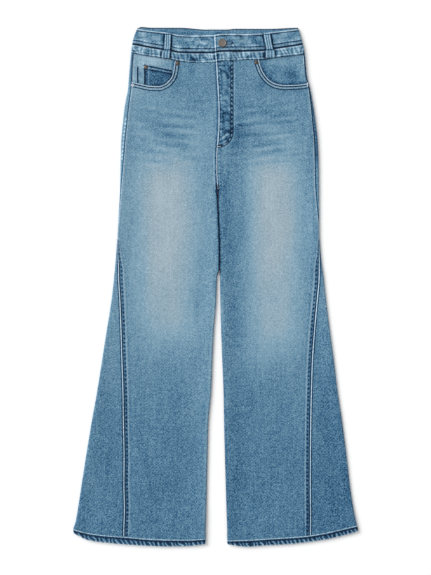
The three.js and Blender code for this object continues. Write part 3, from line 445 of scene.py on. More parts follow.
def addWall(name, outer, inner, material, values, nodes, ring=False):
    # a closed wall between two equal grids; a ring's last column joins its first
    rows, columns = outer.shape[:2]
    top = np.arange(rows * columns).reshape(rows, columns)
    if ring:
        top = np.concatenate([top, top[:, :1]], axis=1)
    under = top + rows * columns
    faces = [
        quads(top[:-1, :-1], top[:-1, 1:], top[1:, 1:], top[1:, :-1]),
        quads(under[:-1, :-1], under[1:, :-1], under[1:, 1:], under[:-1, 1:]),
        quads(top[0, :-1], under[0, :-1], under[0, 1:], top[0, 1:]),
        quads(top[-1, :-1], top[-1, 1:], under[-1, 1:], under[-1, :-1]),
    ]
    if not ring:
        faces.append(quads(top[:-1, 0], top[1:, 0], under[1:, 0], under[:-1, 0]))
        faces.append(quads(top[:-1, -1], under[:-1, -1], under[1:, -1], top[1:, -1]))
    faces = np.concatenate(faces)
    points = np.concatenate([outer.reshape(-1, 3), inner.reshape(-1, 3)])
    a, b, c, d = (points[faces[:, i]] for i in range(4))
    if (a * np.cross(b, c)).sum() + (a * np.cross(c, d)).sum() < 0:
        faces = faces[:, ::-1]
    doubled = {key: np.tile(np.broadcast_to(value, (rows, columns)).ravel(), 2)
               for key, value in values.items()}
    return addMesh(name, points, faces, material, doubled, nodes)


# materials

def mathNode(tree, operation, *values):
    node = tree.nodes.new("ShaderNodeMath")
    node.operation = operation
    for socket, value in zip(node.inputs, values):
        if isinstance(value, bpy.types.NodeSocket):
            tree.links.new(value, socket)
        else:
            socket.default_value = value
    return node.outputs[0]


def rangeNode(tree, value, fromLow, fromHigh, toLow, toHigh):
    node = tree.nodes.new("ShaderNodeMapRange")
    node.interpolation_type = "SMOOTHSTEP"
    tree.links.new(value, node.inputs[0])
    for i, number in enumerate((fromLow, fromHigh, toLow, toHigh), 1):
        node.inputs[i].default_value = number
    return node.outputs[0]


def noiseNode(tree, place, scale, stretch, detail=2.0, rough=0.5):
    moved = tree.nodes.new("ShaderNodeMapping")
    moved.inputs["Scale"].default_value = stretch
    tree.links.new(place, moved.inputs["Vector"])
    node = tree.nodes.new("ShaderNodeTexNoise")
    node.inputs["Scale"].default_value = scale
    node.inputs["Detail"].default_value = detail
    node.inputs["Roughness"].default_value = rough
    tree.links.new(moved.outputs[0], node.inputs["Vector"])
    return node.outputs["Fac"]


def linear(value):
    value = value / 255
    return value / 12.92 if value <= 0.04045 else ((value + 0.055) / 1.055) ** 2.4


def rampNode(tree, value, stops, brightness=(1, 1, 1)):  # stops: position, red, green, blue of 255
    ramp = tree.nodes.new("ShaderNodeValToRGB")
    while len(ramp.color_ramp.elements) < len(stops):
        ramp.color_ramp.elements.new(0.5)
    for element, (position, *colour) in zip(ramp.color_ramp.elements, stops):
        element.position = position
        element.color = [linear(c) * share for c, share in zip(colour, brightness)] + [1]
    tree.links.new(value, ramp.inputs[0])
    return ramp.outputs[0]


def newMaterial(name):
    material = bpy.data.materials.new(name)
    material.use_nodes = True
    tree = material.node_tree
    place = tree.nodes.new("ShaderNodeTexCoord").outputs["Object"]
    return material, tree, tree.nodes["Principled BSDF"], place


def addBump(tree, shader, height, distance, strength):
    bump = tree.nodes.new("ShaderNodeBump")
    bump.inputs["Strength"].default_value = strength
    bump.inputs["Distance"].default_value = distance
    tree.links.new(height, bump.inputs["Height"])
    tree.links.new(bump.outputs[0], shader.inputs["Normal"])


denimLook = {
    # how worn, with painted light and shade added, then the colour at that value
    "colours": [(-0.3, 3, 27, 52), (-0.14, 16, 54, 87), (0.0, 29, 77, 115), (0.1, 44, 98, 138),
                (0.23, 67, 110, 139), (0.34, 82, 121, 147), (0.46, 97, 138, 166), (0.58, 112, 150, 173),
                (0.7, 127, 158, 174), (0.82, 142, 171, 190), (0.93, 156, 184, 202), (1.03, 168, 196, 214),
                (1.2, 188, 214, 232), (1.5, 222, 240, 252)],
    "warm": (1, 0.87, 0.81),  # the cast of the palest fades on the legs
    "brightness": (0.93, 0.97, 0.98),
    "grain": 1.25, "grainScale": 700, "patch": 0.42, "patchScale": 330, "slub": 0.2, "slubScale": 300,
    "hatch": 0.16, "hatchPitch": 4.7, "hatchTurn": 17,  # the short diagonal ridges of the washed twill
    "calm": 0.92,  # how much less the pale cloth is mottled
    "grainHeight": 0.3, "twillPitch": 0.00085, "twillHeight": 0.06, "roughness": 0.85, "bump": 0.8,
}


def makeDenim(name, lines=(), cast=(1, 1, 1)):
    # lines are rows of stitching, pale edges, partly worn and partly painted highlight, and grooves with painted shade,
    # each told by a distance kept on the mesh:
    # on which distance, at how many millimetres, half its width, what it adds to the wear and painted light and shade,
    # height
    material, tree, shader, place = newMaterial(name)
    apart = tree.nodes.new("ShaderNodeSeparateXYZ")
    tree.links.new(place, apart.inputs[0])
    run = {"x": apart.outputs["X"], "y": apart.outputs["Y"]}
    run["both"] = mathNode(tree, "SUBTRACT", run["y"], run["x"])
    kept = {}

    def attribute(key):
        if key not in kept:
            node = tree.nodes.new("ShaderNodeAttribute")
            node.attribute_name = key
            kept[key] = node.outputs["Fac"]
        return kept[key]

    look = denimLook
    fine = noiseNode(tree, place, look["grainScale"], (1, 0.8, 0.4), 2, 0.6)
    patch = noiseNode(tree, place, look["patchScale"], (1, 0.85, 0.4), 1, 0.6)
    warp = noiseNode(tree, place, look["slubScale"], (1, 0.09, 0.4), 2)
    weft = noiseNode(tree, place, look["slubScale"], (0.12, 1, 0.4), 2)
    mixed = mathNode(tree, "MULTIPLY", mathNode(tree, "SUBTRACT", fine, 0.525), look["grain"])
    for noise, share in ((patch, look["patch"]), (warp, look["slub"] * 1.2), (weft, look["slub"] * 0.8)):
        mixed = mathNode(tree, "MULTIPLY_ADD", mathNode(tree, "SUBTRACT", noise, 0.5), share, mixed)
    for slope in (1, -0.8):
        run["hatch"] = mathNode(tree, "MULTIPLY_ADD", run["x"], slope, run["y"])
        turn = mathNode(tree, "MULTIPLY", run["hatch"], 4.6 / (look["hatchPitch"] * millimetre))
        turn = mathNode(tree, "MULTIPLY_ADD", patch, look["hatchTurn"], turn)
        mixed = mathNode(tree, "MULTIPLY_ADD", mathNode(tree, "SINE", turn), look["hatch"], mixed)
    calm = mathNode(tree, "MULTIPLY_ADD", attribute("washAndShade"), -look["calm"], 1.3)
    calm = mathNode(tree, "MINIMUM", mathNode(tree, "MAXIMUM", calm, 0.3), 1.1)
    washAndShade = mathNode(tree, "MULTIPLY_ADD", mixed, calm, attribute("washAndShade"))
    height = mathNode(tree, "MULTIPLY", fine, look["grainHeight"] * millimetre)
    for line in lines:
        away = mathNode(tree, "ABSOLUTE", mathNode(tree, "SUBTRACT", attribute(line["on"]), line["at"]))
        mask = rangeNode(tree, away, line["half"] * 0.45, line["half"] * 1.5, 1, 0)
        if "pitch" in line:  # a row of dashes
            turn = mathNode(tree, "MULTIPLY", run[line.get("along", "y")],
                            2 * math.pi / (line["pitch"] * millimetre))
            beat = mathNode(tree, "SINE", mathNode(tree, "MULTIPLY_ADD", warp, 5, turn))
            beat = mathNode(tree, "MULTIPLY_ADD", beat, 0.5, 0.5)
            mask = mathNode(tree, "MULTIPLY", mask, beat)
        washAndShade = mathNode(tree, "MULTIPLY_ADD", mask, line["washAndShade"], washAndShade)
        height = mathNode(tree, "MULTIPLY_ADD", mask, line.get("height", 0) * millimetre, height)
    low, high = look["colours"][0][0], look["colours"][-1][0]
    stops = [((row[0] - low) / (high - low), *row[1:]) for row in look["colours"]]
    position = mathNode(tree, "DIVIDE", mathNode(tree, "SUBTRACT", washAndShade, low), high - low)
    colour = rampNode(tree, position, stops, look["brightness"])
    warm = tree.nodes.new("ShaderNodeMixRGB")
    warm.blend_type = "MULTIPLY"
    tree.links.new(rangeNode(tree, attribute("washAndShade"), 0.7, 1.0, 0, 1), warm.inputs["Fac"])
    tree.links.new(colour, warm.inputs["Color1"])
    warm.inputs["Color2"].default_value = (*cast, 1)
    tree.links.new(warm.outputs[0], shader.inputs["Base Color"])
    twill = tree.nodes.new("ShaderNodeTexWave")
    twill.bands_direction = "DIAGONAL"
    twill.inputs["Scale"].default_value = 0.444 / look["twillPitch"]
    twill.inputs["Distortion"].default_value = 0.6
    tree.links.new(place, twill.inputs["Vector"])
    height = mathNode(tree, "MULTIPLY_ADD", twill.outputs["Fac"], look["twillHeight"] * millimetre, height)
    addBump(tree, shader, height, 1, look["bump"])
    shader.inputs["Roughness"].default_value = look["roughness"]
    shader.inputs["Specular IOR Level"].default_value = 0.2
    shader.inputs["Sheen Weight"].default_value = 0.05
    shader.inputs["Sheen Roughness"].default_value = 0.5
    return material


def makeThread(name, colour, rough=0.7):
    material, tree, shader, place = newMaterial(name)
    patch = noiseNode(tree, place, 900, (1, 1, 1))
    shades = [(0.3, *[c * 0.82 for c in colour]), (0.7, *colour)]
    tree.links.new(rampNode(tree, patch, shades), shader.inputs["Base Color"])
    addBump(tree, shader, patch, 0.0002, 0.4)
    shader.inputs["Roughness"].default_value = rough
    shader.inputs["Specular IOR Level"].default_value = 0.3
    return material


def makeMetal(name, light, dark, rough):
    material, tree, shader, place = newMaterial(name)
    patch = noiseNode(tree, place, 600, (1, 1, 1), 4, 0.6)
    colour = rampNode(tree, patch, [(0.35, *dark), (0.65, *light)])
    tree.links.new(colour, shader.inputs["Base Color"])
    tree.links.new(rangeNode(tree, patch, 0.3, 0.7, rough + 0.15, rough), shader.inputs["Roughness"])
    addBump(tree, shader, patch, 0.0001, 0.3)
    shader.inputs["Metallic"].default_value = 0.7
    return material


# on the fronts, the pale lines along the side seam, the flare seams, the scoop's rim and the fly's folded edge are
# partly wear and partly painted highlight where the raised edges catch the light; the dark lines beside them and along
# the fly's curved stitching are painted shade in the grooves, and the dark dashes beside the flare seams are painted
# shade in the seam's puckers
denimFront = makeDenim("denim_front", [
    {"on": "seamOff", "at": 0.9, "half": 0.9, "washAndShade": 0.4, "height": 0.15},
    {"on": "flareOff", "at": 0.9, "half": 0.9, "washAndShade": 0.4},
    {"on": "flareOff", "at": 3.2, "half": 1.1, "washAndShade": -0.94, "height": -0.15},
    {"on": "flareOff", "at": 6, "half": 3, "washAndShade": -0.12},
    {"on": "flareOff", "at": 7.3, "half": 1.8, "washAndShade": -0.7, "pitch": 8.6, "height": -0.2},
    {"on": "flareOff", "at": 11.2, "half": 1.1, "washAndShade": 0.25, "height": 0.12},
    {"on": "flareOff", "at": 15.2, "half": 0.9, "washAndShade": -0.12},
    {"on": "rimOff", "at": 0.9, "half": 1.0, "washAndShade": 0.7, "height": 0.12},
    {"on": "rimOff", "at": 3.3, "half": 1.1, "washAndShade": -0.88, "height": -0.15},
    {"on": "rimOff", "at": 6.2, "half": 1.4, "washAndShade": 0.25, "height": 0.1},
    {"on": "rimOff", "at": 9.2, "half": 1.1, "washAndShade": -0.82, "height": -0.12},
    {"on": "endOff", "at": 0.5, "half": 1.2, "washAndShade": 0.95, "height": 0.1},
    {"on": "endOff", "at": 6.0, "half": 2.2, "washAndShade": 0.45, "pitch": 8.2, "height": 0.15},
    {"on": "endOff", "at": 3.2, "half": 1.2, "washAndShade": -0.4},
    {"on": "endOff", "at": 7.0, "half": 3.0, "washAndShade": -0.2},
    {"on": "stitchOff", "at": 1.0, "half": 2.8, "washAndShade": -0.7, "height": -0.2},
    {"on": "stitchOff", "at": 1.0, "half": 1.3, "washAndShade": 1.25, "pitch": 9.2, "height": 0.1},
    {"on": "stitchOff", "at": -4.2, "half": 0.8, "washAndShade": 0.25, "height": 0.05},
    {"on": "stitchOff", "at": 5.9, "half": 0.8, "washAndShade": 0.2, "height": 0.05},
], denimLook["warm"])
# in the pocket facings, the dark line in the right facing's crease is painted shade with a strip of painted light
# beside it, and the glint along the left facing's fold is a painted highlight
denimFacing = makeDenim("denim_facing", [
    {"on": "creaseOff", "at": 0, "half": 1.5, "washAndShade": -0.99, "height": -0.2},
    {"on": "creaseOff", "at": 3, "half": 1.2, "washAndShade": 0.2, "height": 0.1},
    {"on": "glintOff", "at": 0, "half": 1.0, "washAndShade": 0.7, "height": 0.1},
])
# on the backs and the flares, the dark line along the side seam is painted shade in the seam's groove
denimSide = makeDenim("denim_side", [
    {"on": "seamOff", "at": 1.0, "half": 1.3, "washAndShade": -0.58, "height": -0.15},
    {"on": "wrapOff", "at": 4.5, "half": 1.4, "washAndShade": 0.7, "pitch": 8},
])
# on the waistband, the dark line along the seam between its two tiers and the dark lines beside the belt loops are
# painted shade
denimUpperBand = makeDenim("denim_upper_band", [
    {"on": "topOff", "at": 0.8, "half": 1.0, "washAndShade": 0.6, "height": 0.1},
    {"on": "topOff", "at": 3.4, "half": 1.1, "washAndShade": -0.7, "height": -0.12},
    {"on": "bottomOff", "at": 0.5, "half": 1.3, "washAndShade": -1.11, "height": -0.3},
    {"on": "bottomOff", "at": 3.6, "half": 1.1, "washAndShade": 0.3, "pitch": 6.3, "along": "x"},
    {"on": "bottomOff", "at": 7.6, "half": 1.2, "washAndShade": -0.64, "height": -0.15},
    {"on": "bottomOff", "at": 10.6, "half": 1.2, "washAndShade": 0.4, "pitch": 6.3, "along": "x"},
    {"on": "endOff", "at": 0.8, "half": 1.1, "washAndShade": 1.0, "height": 0.1},
    {"on": "endOff", "at": 3.6, "half": 1.0, "washAndShade": -0.25},
    {"on": "loopOff", "at": 1.6, "half": 2.0, "washAndShade": -0.7},
])
denimLowerBand = makeDenim("denim_lower_band", [
    {"on": "topOff", "at": 0.3, "half": 1.3, "washAndShade": -1.05, "height": -0.2},
    {"on": "topOff", "at": 3.2, "half": 1.1, "washAndShade": 0.3, "height": 0.1},
    {"on": "bottomOff", "at": 0.3, "half": 1.0, "washAndShade": -0.4, "height": -0.2},
    {"on": "bottomOff", "at": 2.6, "half": 1.0, "washAndShade": 0.3},
    {"on": "bottomOff", "at": 5.0, "half": 1.0, "washAndShade": -0.25, "height": -0.1},
    {"on": "endOff", "at": 0.8, "half": 1.1, "washAndShade": 1.0, "height": 0.1},
    {"on": "endOff", "at": 3.6, "half": 1.0, "washAndShade": -0.25},
    {"on": "loopOff", "at": 1.6, "half": 2.0, "washAndShade": -0.7},
])
# the pale line along the hem's top is partly its stitching and partly painted highlight where the hem's edge stands up
denimHem = makeDenim("denim_hem", [
    {"on": "topOff", "at": 0.2, "half": 1.5, "washAndShade": 1.0, "height": 0.15},
    {"on": "topOff", "at": 4.2, "half": 1.8, "washAndShade": -0.4, "height": -0.15},
    {"on": "bottomOff", "at": 0.6, "half": 1.2, "washAndShade": 0.35},
])
# on the coin pocket, the dark band along the scoop's rim is painted shade under the rim
denimPocket = makeDenim("denim_pocket", [
    {"on": "topOff", "at": 0.8, "half": 0.9, "washAndShade": 0.55, "height": 0.1},
    {"on": "topOff", "at": 3.4, "half": 1.4, "washAndShade": -0.45},
    {"on": "topOff", "at": 7.0, "half": 0.9, "washAndShade": 0.45, "height": 0.1},
    {"on": "topOff", "at": 10.5, "half": 1.6, "washAndShade": -0.4},
    {"on": "sideOff", "at": 0.7, "half": 0.9, "washAndShade": 0.6, "height": 0.1},
    {"on": "sideOff", "at": 3.6, "half": 1.6, "washAndShade": -0.58, "height": -0.1},
    {"on": "sideOff", "at": 10.6, "half": 1.0, "washAndShade": 0.5, "height": 0.1},
    {"on": "rimOff", "at": 0, "half": 3.0, "washAndShade": -0.35},
])
# on the belt loops, the pale lines on the two raised ridges are painted highlights, and the dark lines along the loops'
# edges and across their feet are painted shade
denimLoop = makeDenim("denim_loop", [
    {"on": "ridgeOff", "at": 0, "half": 1.0, "washAndShade": 0.5, "height": 0.1},
    {"on": "ridgeOff", "at": -2.2, "half": 0.9, "washAndShade": -0.35},
    {"on": "middleOff", "at": 0, "half": 1.1, "washAndShade": 0.4},
    {"on": "middleOff", "at": 2.2, "half": 0.8, "washAndShade": -0.35},
    {"on": "footOff", "at": 0, "half": 1.4, "washAndShade": -0.7},
])
threadPale = makeThread("thread_pale", (168, 186, 200))
threadWhite = makeThread("thread_white", (226, 232, 240))
threadNavy = makeThread("thread_navy", (38, 54, 88))
bronze = makeMetal("antique_bronze", (143, 136, 129), (98, 92, 87), 0.45)
copper = makeMetal("aged_copper", (124, 114, 107), (50, 46, 45), 0.4)
zipTape = makeThread("zip_tape", (57, 83, 107), 0.85)
print("materials made")

# fronts and backs
panelGrid = {"seamReach": 14, "seamSteps": 15, "endReach": 9, "endSteps": 8, "wraps": 5, "rimReach": 11,
             "rimSteps": 12, "rimRows": 46, "upperStep": 2.1, "lowerStep": 3.6, "backColumns": 62}


def makeColumns(shares, startReach, startSteps, endReach, endSteps, wraps):
    # close together by the side seam, shares of the way across, close together again, round the inseam
    start = np.linspace(0, startReach, startSteps, endpoint=False)
    end = np.linspace(0, endReach, endSteps + 1)[1:]
    wrap = np.linspace(0, 1, wraps + 1)[1:]
    counts = [len(start), len(shares), len(end), len(wrap)]

    def row(*parts):
        return np.concatenate([np.broadcast_to(part, n).astype(float) for part, n in zip(parts, counts)])

    return {
        "start": row(start, startReach, startReach, startReach), "share": row(0, shares, 1, 1),
        "end": row(0, 0, end, endReach), "wrap": row(0, 0, 0, wrap), "reach": startReach + endReach,
    }


def wayAcross(edge, length, y, columns):
    flat = length - quarterFold(y) - edge
    middle = columns["share"] * (flat - columns["reach"])
    wrapped = columns["wrap"] * (quarterFold(y) - cloth["gap"] / 2)
    return edge + columns["start"] + middle + columns["end"] + wrapped


def frontWay(leg, y, columns):
    return wayAcross(leg["seam"](y) + cloth["seamGap"] / 2, clothLength(leg, y, False), y, columns)


def backWay(leg, y, columns):
    edge = cloth["seamGap"] / 2 + np.where(y >= shape["flareTop"], -leg["seam"](y), leg["seam"](y))
    return -wayAcross(edge, clothLength(leg, y, True), y, columns)


def frontColumns(leg):  # closest where the scoop is steep, and along the fly's stitches
    y = 440.0
    start = leg["outer"](y) - foldRadius(y) + quarterFold(y) - leg["seam"](y) - panelGrid["seamReach"]
    end = float(centreEdge(leg, y, False)) + panelGrid["endReach"]
    scoop = leg["scoop"][0][0]
    steps = [(end, 1.7), (27, 1.7), (29, 1.0), (40, 1.0), (42, 2.0), (scoop - 3, 2.0), (scoop - 1, 0.8),
             (scoop + 13, 0.8), (scoop + 14, 1.9), (start, 1.9)]
    stops = [start]
    while stops[-1] > end:
        stops.append(stops[-1] - np.interp(stops[-1], *zip(*steps)))
    shares = (start - np.array(stops[:-1] + [end])) / (start - end)
    g = panelGrid
    return makeColumns(shares, g["seamReach"], g["seamSteps"], g["endReach"], g["endSteps"], g["wraps"])


def backColumns():
    return makeColumns(np.linspace(0, 1, panelGrid["backColumns"]), 24, 20, 8, 5, 5)


def panelRows(top, bottom, levels, topRows):  # rows follow the top's outline, then the levels, then the hem
    near = top - np.linspace(0, panelGrid["rimReach"], panelGrid["rimSteps"])[:, None]
    between = lerp(near[-1], levels[0], np.linspace(0, 1, topRows)[1:-1, None])
    last = lerp(levels[-1], bottom, np.linspace(0, 1, 9)[1:, None])
    return np.concatenate([near, between, levels[:, None] + 0 * top, last])


def frontOutline(leg, u):
    band = leg["bandBottom"](np.maximum(u, shape["flySlope"])) - 1.5 * cloth["gap"]
    return np.where(u > leg["scoop"][0][0], leg["scoopLine"](u), band)


def scoopRim(leg, steps=60):
    u = np.linspace(leg["scoop"][-1][0] + 10, leg["scoop"][0][0], steps)
    return np.stack([leg["sign"] * u, leg["scoopLine"](u)], -1)


def declare(piece, name, **more):
    return piece


def flareNarrowing(y):  # the rows of stitching beside a flare close up towards its top
    return lerp(3, 1, smoothstep(shape["flareTop"] - y, 0, 75))


flySpots = [  # painted highlights on the placket's ridges and painted shade in its hollows, the last four round its curved foot
    {"x": 18, "y": 363.9, "across": 11, "along": 2.4, "amount": 0.35},
    {"x": 17, "y": 360, "across": 11, "along": 11, "amount": -0.28},
    {"x": 16, "y": 447, "across": 12, "along": 2.2, "lean": -0.6, "amount": 0.3},
    {"x": 15, "y": 440, "across": 9, "along": 9, "amount": -0.15},
    {"x": 33, "y": 295, "across": 8, "along": 12, "amount": -0.15},
    {"x": 23, "y": 443, "across": 8, "along": 5, "amount": -0.3},
    {"x": 27, "y": 418, "across": 4, "along": 14, "amount": -0.2},
    {"x": 19.5, "y": 388, "across": 5, "along": 7, "amount": 0.3},
    {"x": 6, "y": 322, "across": 5, "along": 5, "amount": -0.3},
    {"x": 41, "y": 340, "across": 4, "along": 9, "amount": 0.22},
    {"x": 1, "y": 420, "across": 2.5, "along": 45, "amount": 0.2},
    {"x": 20, "y": 348, "across": 16, "along": 30, "amount": -0.12},
    {"x": 28, "y": 436, "across": 7, "along": 14, "amount": -0.2},
    {"x": 27, "y": 318, "across": 9, "along": 7, "lean": 0.3, "amount": -0.55},
    {"x": 17, "y": 307, "across": 11, "along": 2.6, "lean": 0.75, "amount": 0.6},
    {"x": 20, "y": 302, "across": 9, "along": 2.6, "lean": 0.75, "amount": -0.35},
    {"x": 9.5, "y": 290, "across": 2.4, "along": 12, "amount": -0.5},
]


def makeFront(name, leg):
    columns = frontColumns(leg)
    count = len(columns["start"])

    def outward(y):
        return leg["sign"] * onBody(leg, y, frontWay(leg, y, columns), 0, noRelief)[..., 0]

    top = meet(lambda u: frontOutline(leg, u), outward, count)
    low = np.full(count, float(shape["lowest"]))
    bottom = leg["hemStitch"](hemShare(leg, frontWay(leg, low, columns))) + cloth["gap"] / 2
    upper = np.arange(360, 178, -panelGrid["upperStep"])
    lower = np.linspace(176, shape["lowest"], int((176 - shape["lowest"]) / panelGrid["lowerStep"]))
    y = panelRows(top, bottom, np.concatenate([upper, lower]), panelGrid["rimRows"])
    way = frontWay(leg, y, columns)
    outer = onBody(leg, y, way, 0)
    x = outer[..., 0]
    inFly = insideFly(x, y)
    washAndShade = washAndShadeAt(x, y)
    toEnd = clothLength(leg, y, False) - way
    far = np.full(x.shape, 60.0)
    end, stitch = far, far
    if leg is leftLeg:
        end = np.where(y > shape["crotch"] - 2, toEnd + 0.7 * (1 - smoothstep(y, 270, 300)), far)
        placket = smoothstep(inFly, -1, 4) * smoothstep(y, 284, 292)
        folds = np.sin(2 * np.pi * (y + 0.8 * x) / creases["flyPitch"] + 1.6 * puckerNoise(x, y))
        # the placket is a little darker, with painted light on the crests and painted shade in the hollows of its
        # puckered folds, in step with their relief
        washAndShade = washAndShade - placket * (0.1 - 0.15 * folds - 0.16 * blotches(x, y))
        washAndShade = washAndShade + spotWearAndShade(flySpots, x, y)
        stitch = np.where(y > 270, inFly, far)
    else:
        off = flyEdge(y) - x
        # painted shade on the right front beside the left front's fly edge, then a painted highlight a little further
        # out
        washAndShade = washAndShade - 0.5 * np.exp(-((off - 2.2) / 1.7) ** 2) * smoothstep(y, 195, 215)
        washAndShade = washAndShade + 0.3 * np.exp(-((off - 5.0) / 1.0) ** 2) * smoothstep(y, 199, 205) * (1 - smoothstep(y, 285, 295))
    between = 1 - smoothstep(y, 205, 215)  # painted shade on the inner edges, dark where the legs lie close
    closeness = smoothstep(y, 20, 32)
    dark = 0.2 * np.exp(-(np.maximum(toEnd, 0) / 4.5) ** 2) + 1.2 * closeness * np.exp(-(np.maximum(toEnd, 0) / 3) ** 2)
    washAndShade = washAndShade - between * dark
    rim = smoothstep(-y, 5, 45) * (1 if leg is rightLeg else 1 - smoothstep(-y, 60, 110))
    washAndShade = washAndShade + 0.22 * rim * np.exp(-((toEnd - 4) / 4) ** 2)  # a worn rim just below where the legs part
    seam = way - leg["seam"](y) - cloth["seamGap"] / 2
    below = 60 * smoothstep(y, shape["flareTop"] - 12, shape["flareTop"])
    values = {"washAndShade": washAndShade, "seamOff": seam, "flareOff": seam * flareNarrowing(y) + below, "endOff": end,
              "stitchOff": stitch, "rimOff": distanceTo(x, y, scoopRim(leg))}
    inner = onBody(leg, y, way, cloth["panel"])
    return declare(addWall(name + "_cloth", outer, inner, denimFront, values, [name]), name)


def between(leg, y, way):  # painted shade on the back at the inner edges, where the legs lie close: how much darker it is
    toEnd = clothLength(leg, y, True) - np.abs(way)
    return 0.6 * (1 - smoothstep(y, 205, 215)) * np.exp(-(np.maximum(toEnd, 0) / 9) ** 2)


def makeBack(name, leg):
    columns = backColumns()
    count = len(columns["start"])

    def outward(y):
        return leg["sign"] * onBody(leg, y, backWay(leg, y, columns), 0, noRelief)[..., 0]

    def line(u):
        wraps = columns["start"] < 18
        front = np.where(wraps, leg["bandBottom"](u), 1e9)
        return np.minimum(backBottom(leg["sign"] * u), front) - cloth["gap"]

    top = meet(line, outward, count)
    low = np.full(count, float(shape["lowest"]))
    bottom = leg["hemStitch"](hemShare(leg, backWay(leg, low, columns))) + cloth["gap"] / 2
    upper = np.linspace(440, shape["flareTop"], 100)
    lower = np.linspace(shape["flareTop"] - 0.5, shape["lowest"], 130)
    y = panelRows(top, bottom, np.concatenate([upper, lower]), 12)
    way = backWay(leg, y, columns)
    outer = onBody(leg, y, way, 0)
    x = outer[..., 0]
    # the back comes round the side fold paler on the right leg, as painted light, and darker on the left, as painted
    # shade
    washAndShade = washAndShadeAt(x * 0.92, y) - 0.04 + (way > 0) * smoothLine(leg["wrapWear"], 1)(y)
    seam = np.where(y < shape["flareTop"], np.abs(way) - leg["seam"](y), leg["seam"](y) - way)
    inner = onBody(leg, y, way, cloth["panel"])
    stitched = smoothstep(y, 250, 262) * (1 - smoothstep(y, 345, 360))
    # painted shade at the inner edges
    washAndShade = washAndShade - between(leg, y, way)
    if leg is leftLeg:
        stitched = 0
    values = {"washAndShade": washAndShade, "seamOff": seam, "wrapOff": seam + 60 * (1 - stitched)}
    return declare(addWall(name + "_cloth", outer, inner, denimSide, values, [name]), name)


for side, leg in (("right", rightLeg), ("left", leftLeg)):
    leg["front"] = makeFront("front_" + side + "_leg", leg)
    leg["back"] = makeBack("back_" + side + "_leg", leg)
print("panels made:", sum(len(leg["front"].data.polygons) for leg in (rightLeg, leftLeg)), "faces in fronts")

# side flares and hems
flareGrid = {"flat": 16, "fold": 14, "rowStep": 3.3}
flareCloth = {"flat": (0.23, 0.62), "area": 0.068, "slot": "denim"}
hemCloth = {"flat": (0.53, 0.0155), "slot": "denim_dark"}
hemLook = {"washAndShade": 0.02, "rope": 0.75, "rows": 15}


def flareWays(leg, y):
    half = leg["seam"](y) - cloth["seamGap"] / 2
    fold = np.minimum(quarterFold(y), half / 2)
    flat = lerp(half, fold, np.linspace(0, 1, flareGrid["flat"] + 1)[:-1])
    return np.concatenate([flat, lerp(fold, -fold, np.linspace(0, 1, flareGrid["fold"] + 1)), -flat[..., ::-1]], -1)


def makeFlare(name, leg):
    levels = np.arange(99, shape["lowest"], -flareGrid["rowStep"])
    levels = np.concatenate([levels, [shape["lowest"]]])[:, None]
    lowWays = flareWays(leg, levels[-1:])
    bottom = leg["hemStitch"](hemShare(leg, lowWays)) + cloth["gap"] / 2
    last = lerp(shape["lowest"], bottom, np.linspace(0, 1, 9)[1:, None])
    ways = [flareWays(leg, levels)]
    for row in last:  # below the lowest level each column has a height of its own
        every = flareWays(leg, row[:, None])
        ways.append(np.diagonal(every)[None, :])
    way = np.concatenate(ways)
    y = np.concatenate([levels + 0 * lowWays, last])
    outer = onBody(leg, y, way, 0)
    inner = onBody(leg, y, way, cloth["panel"])
    x = outer[..., 0]
    washAndShade = washAndShadeAt(x, y) - 0.04
    seam = leg["seam"](y) - np.abs(way)
    values = {"washAndShade": washAndShade, "seamOff": seam, "wrapOff": 60 + 0 * seam}
    return declare(addWall(name + "_cloth", outer, inner, denimSide, values, [name]), "", **flareCloth)


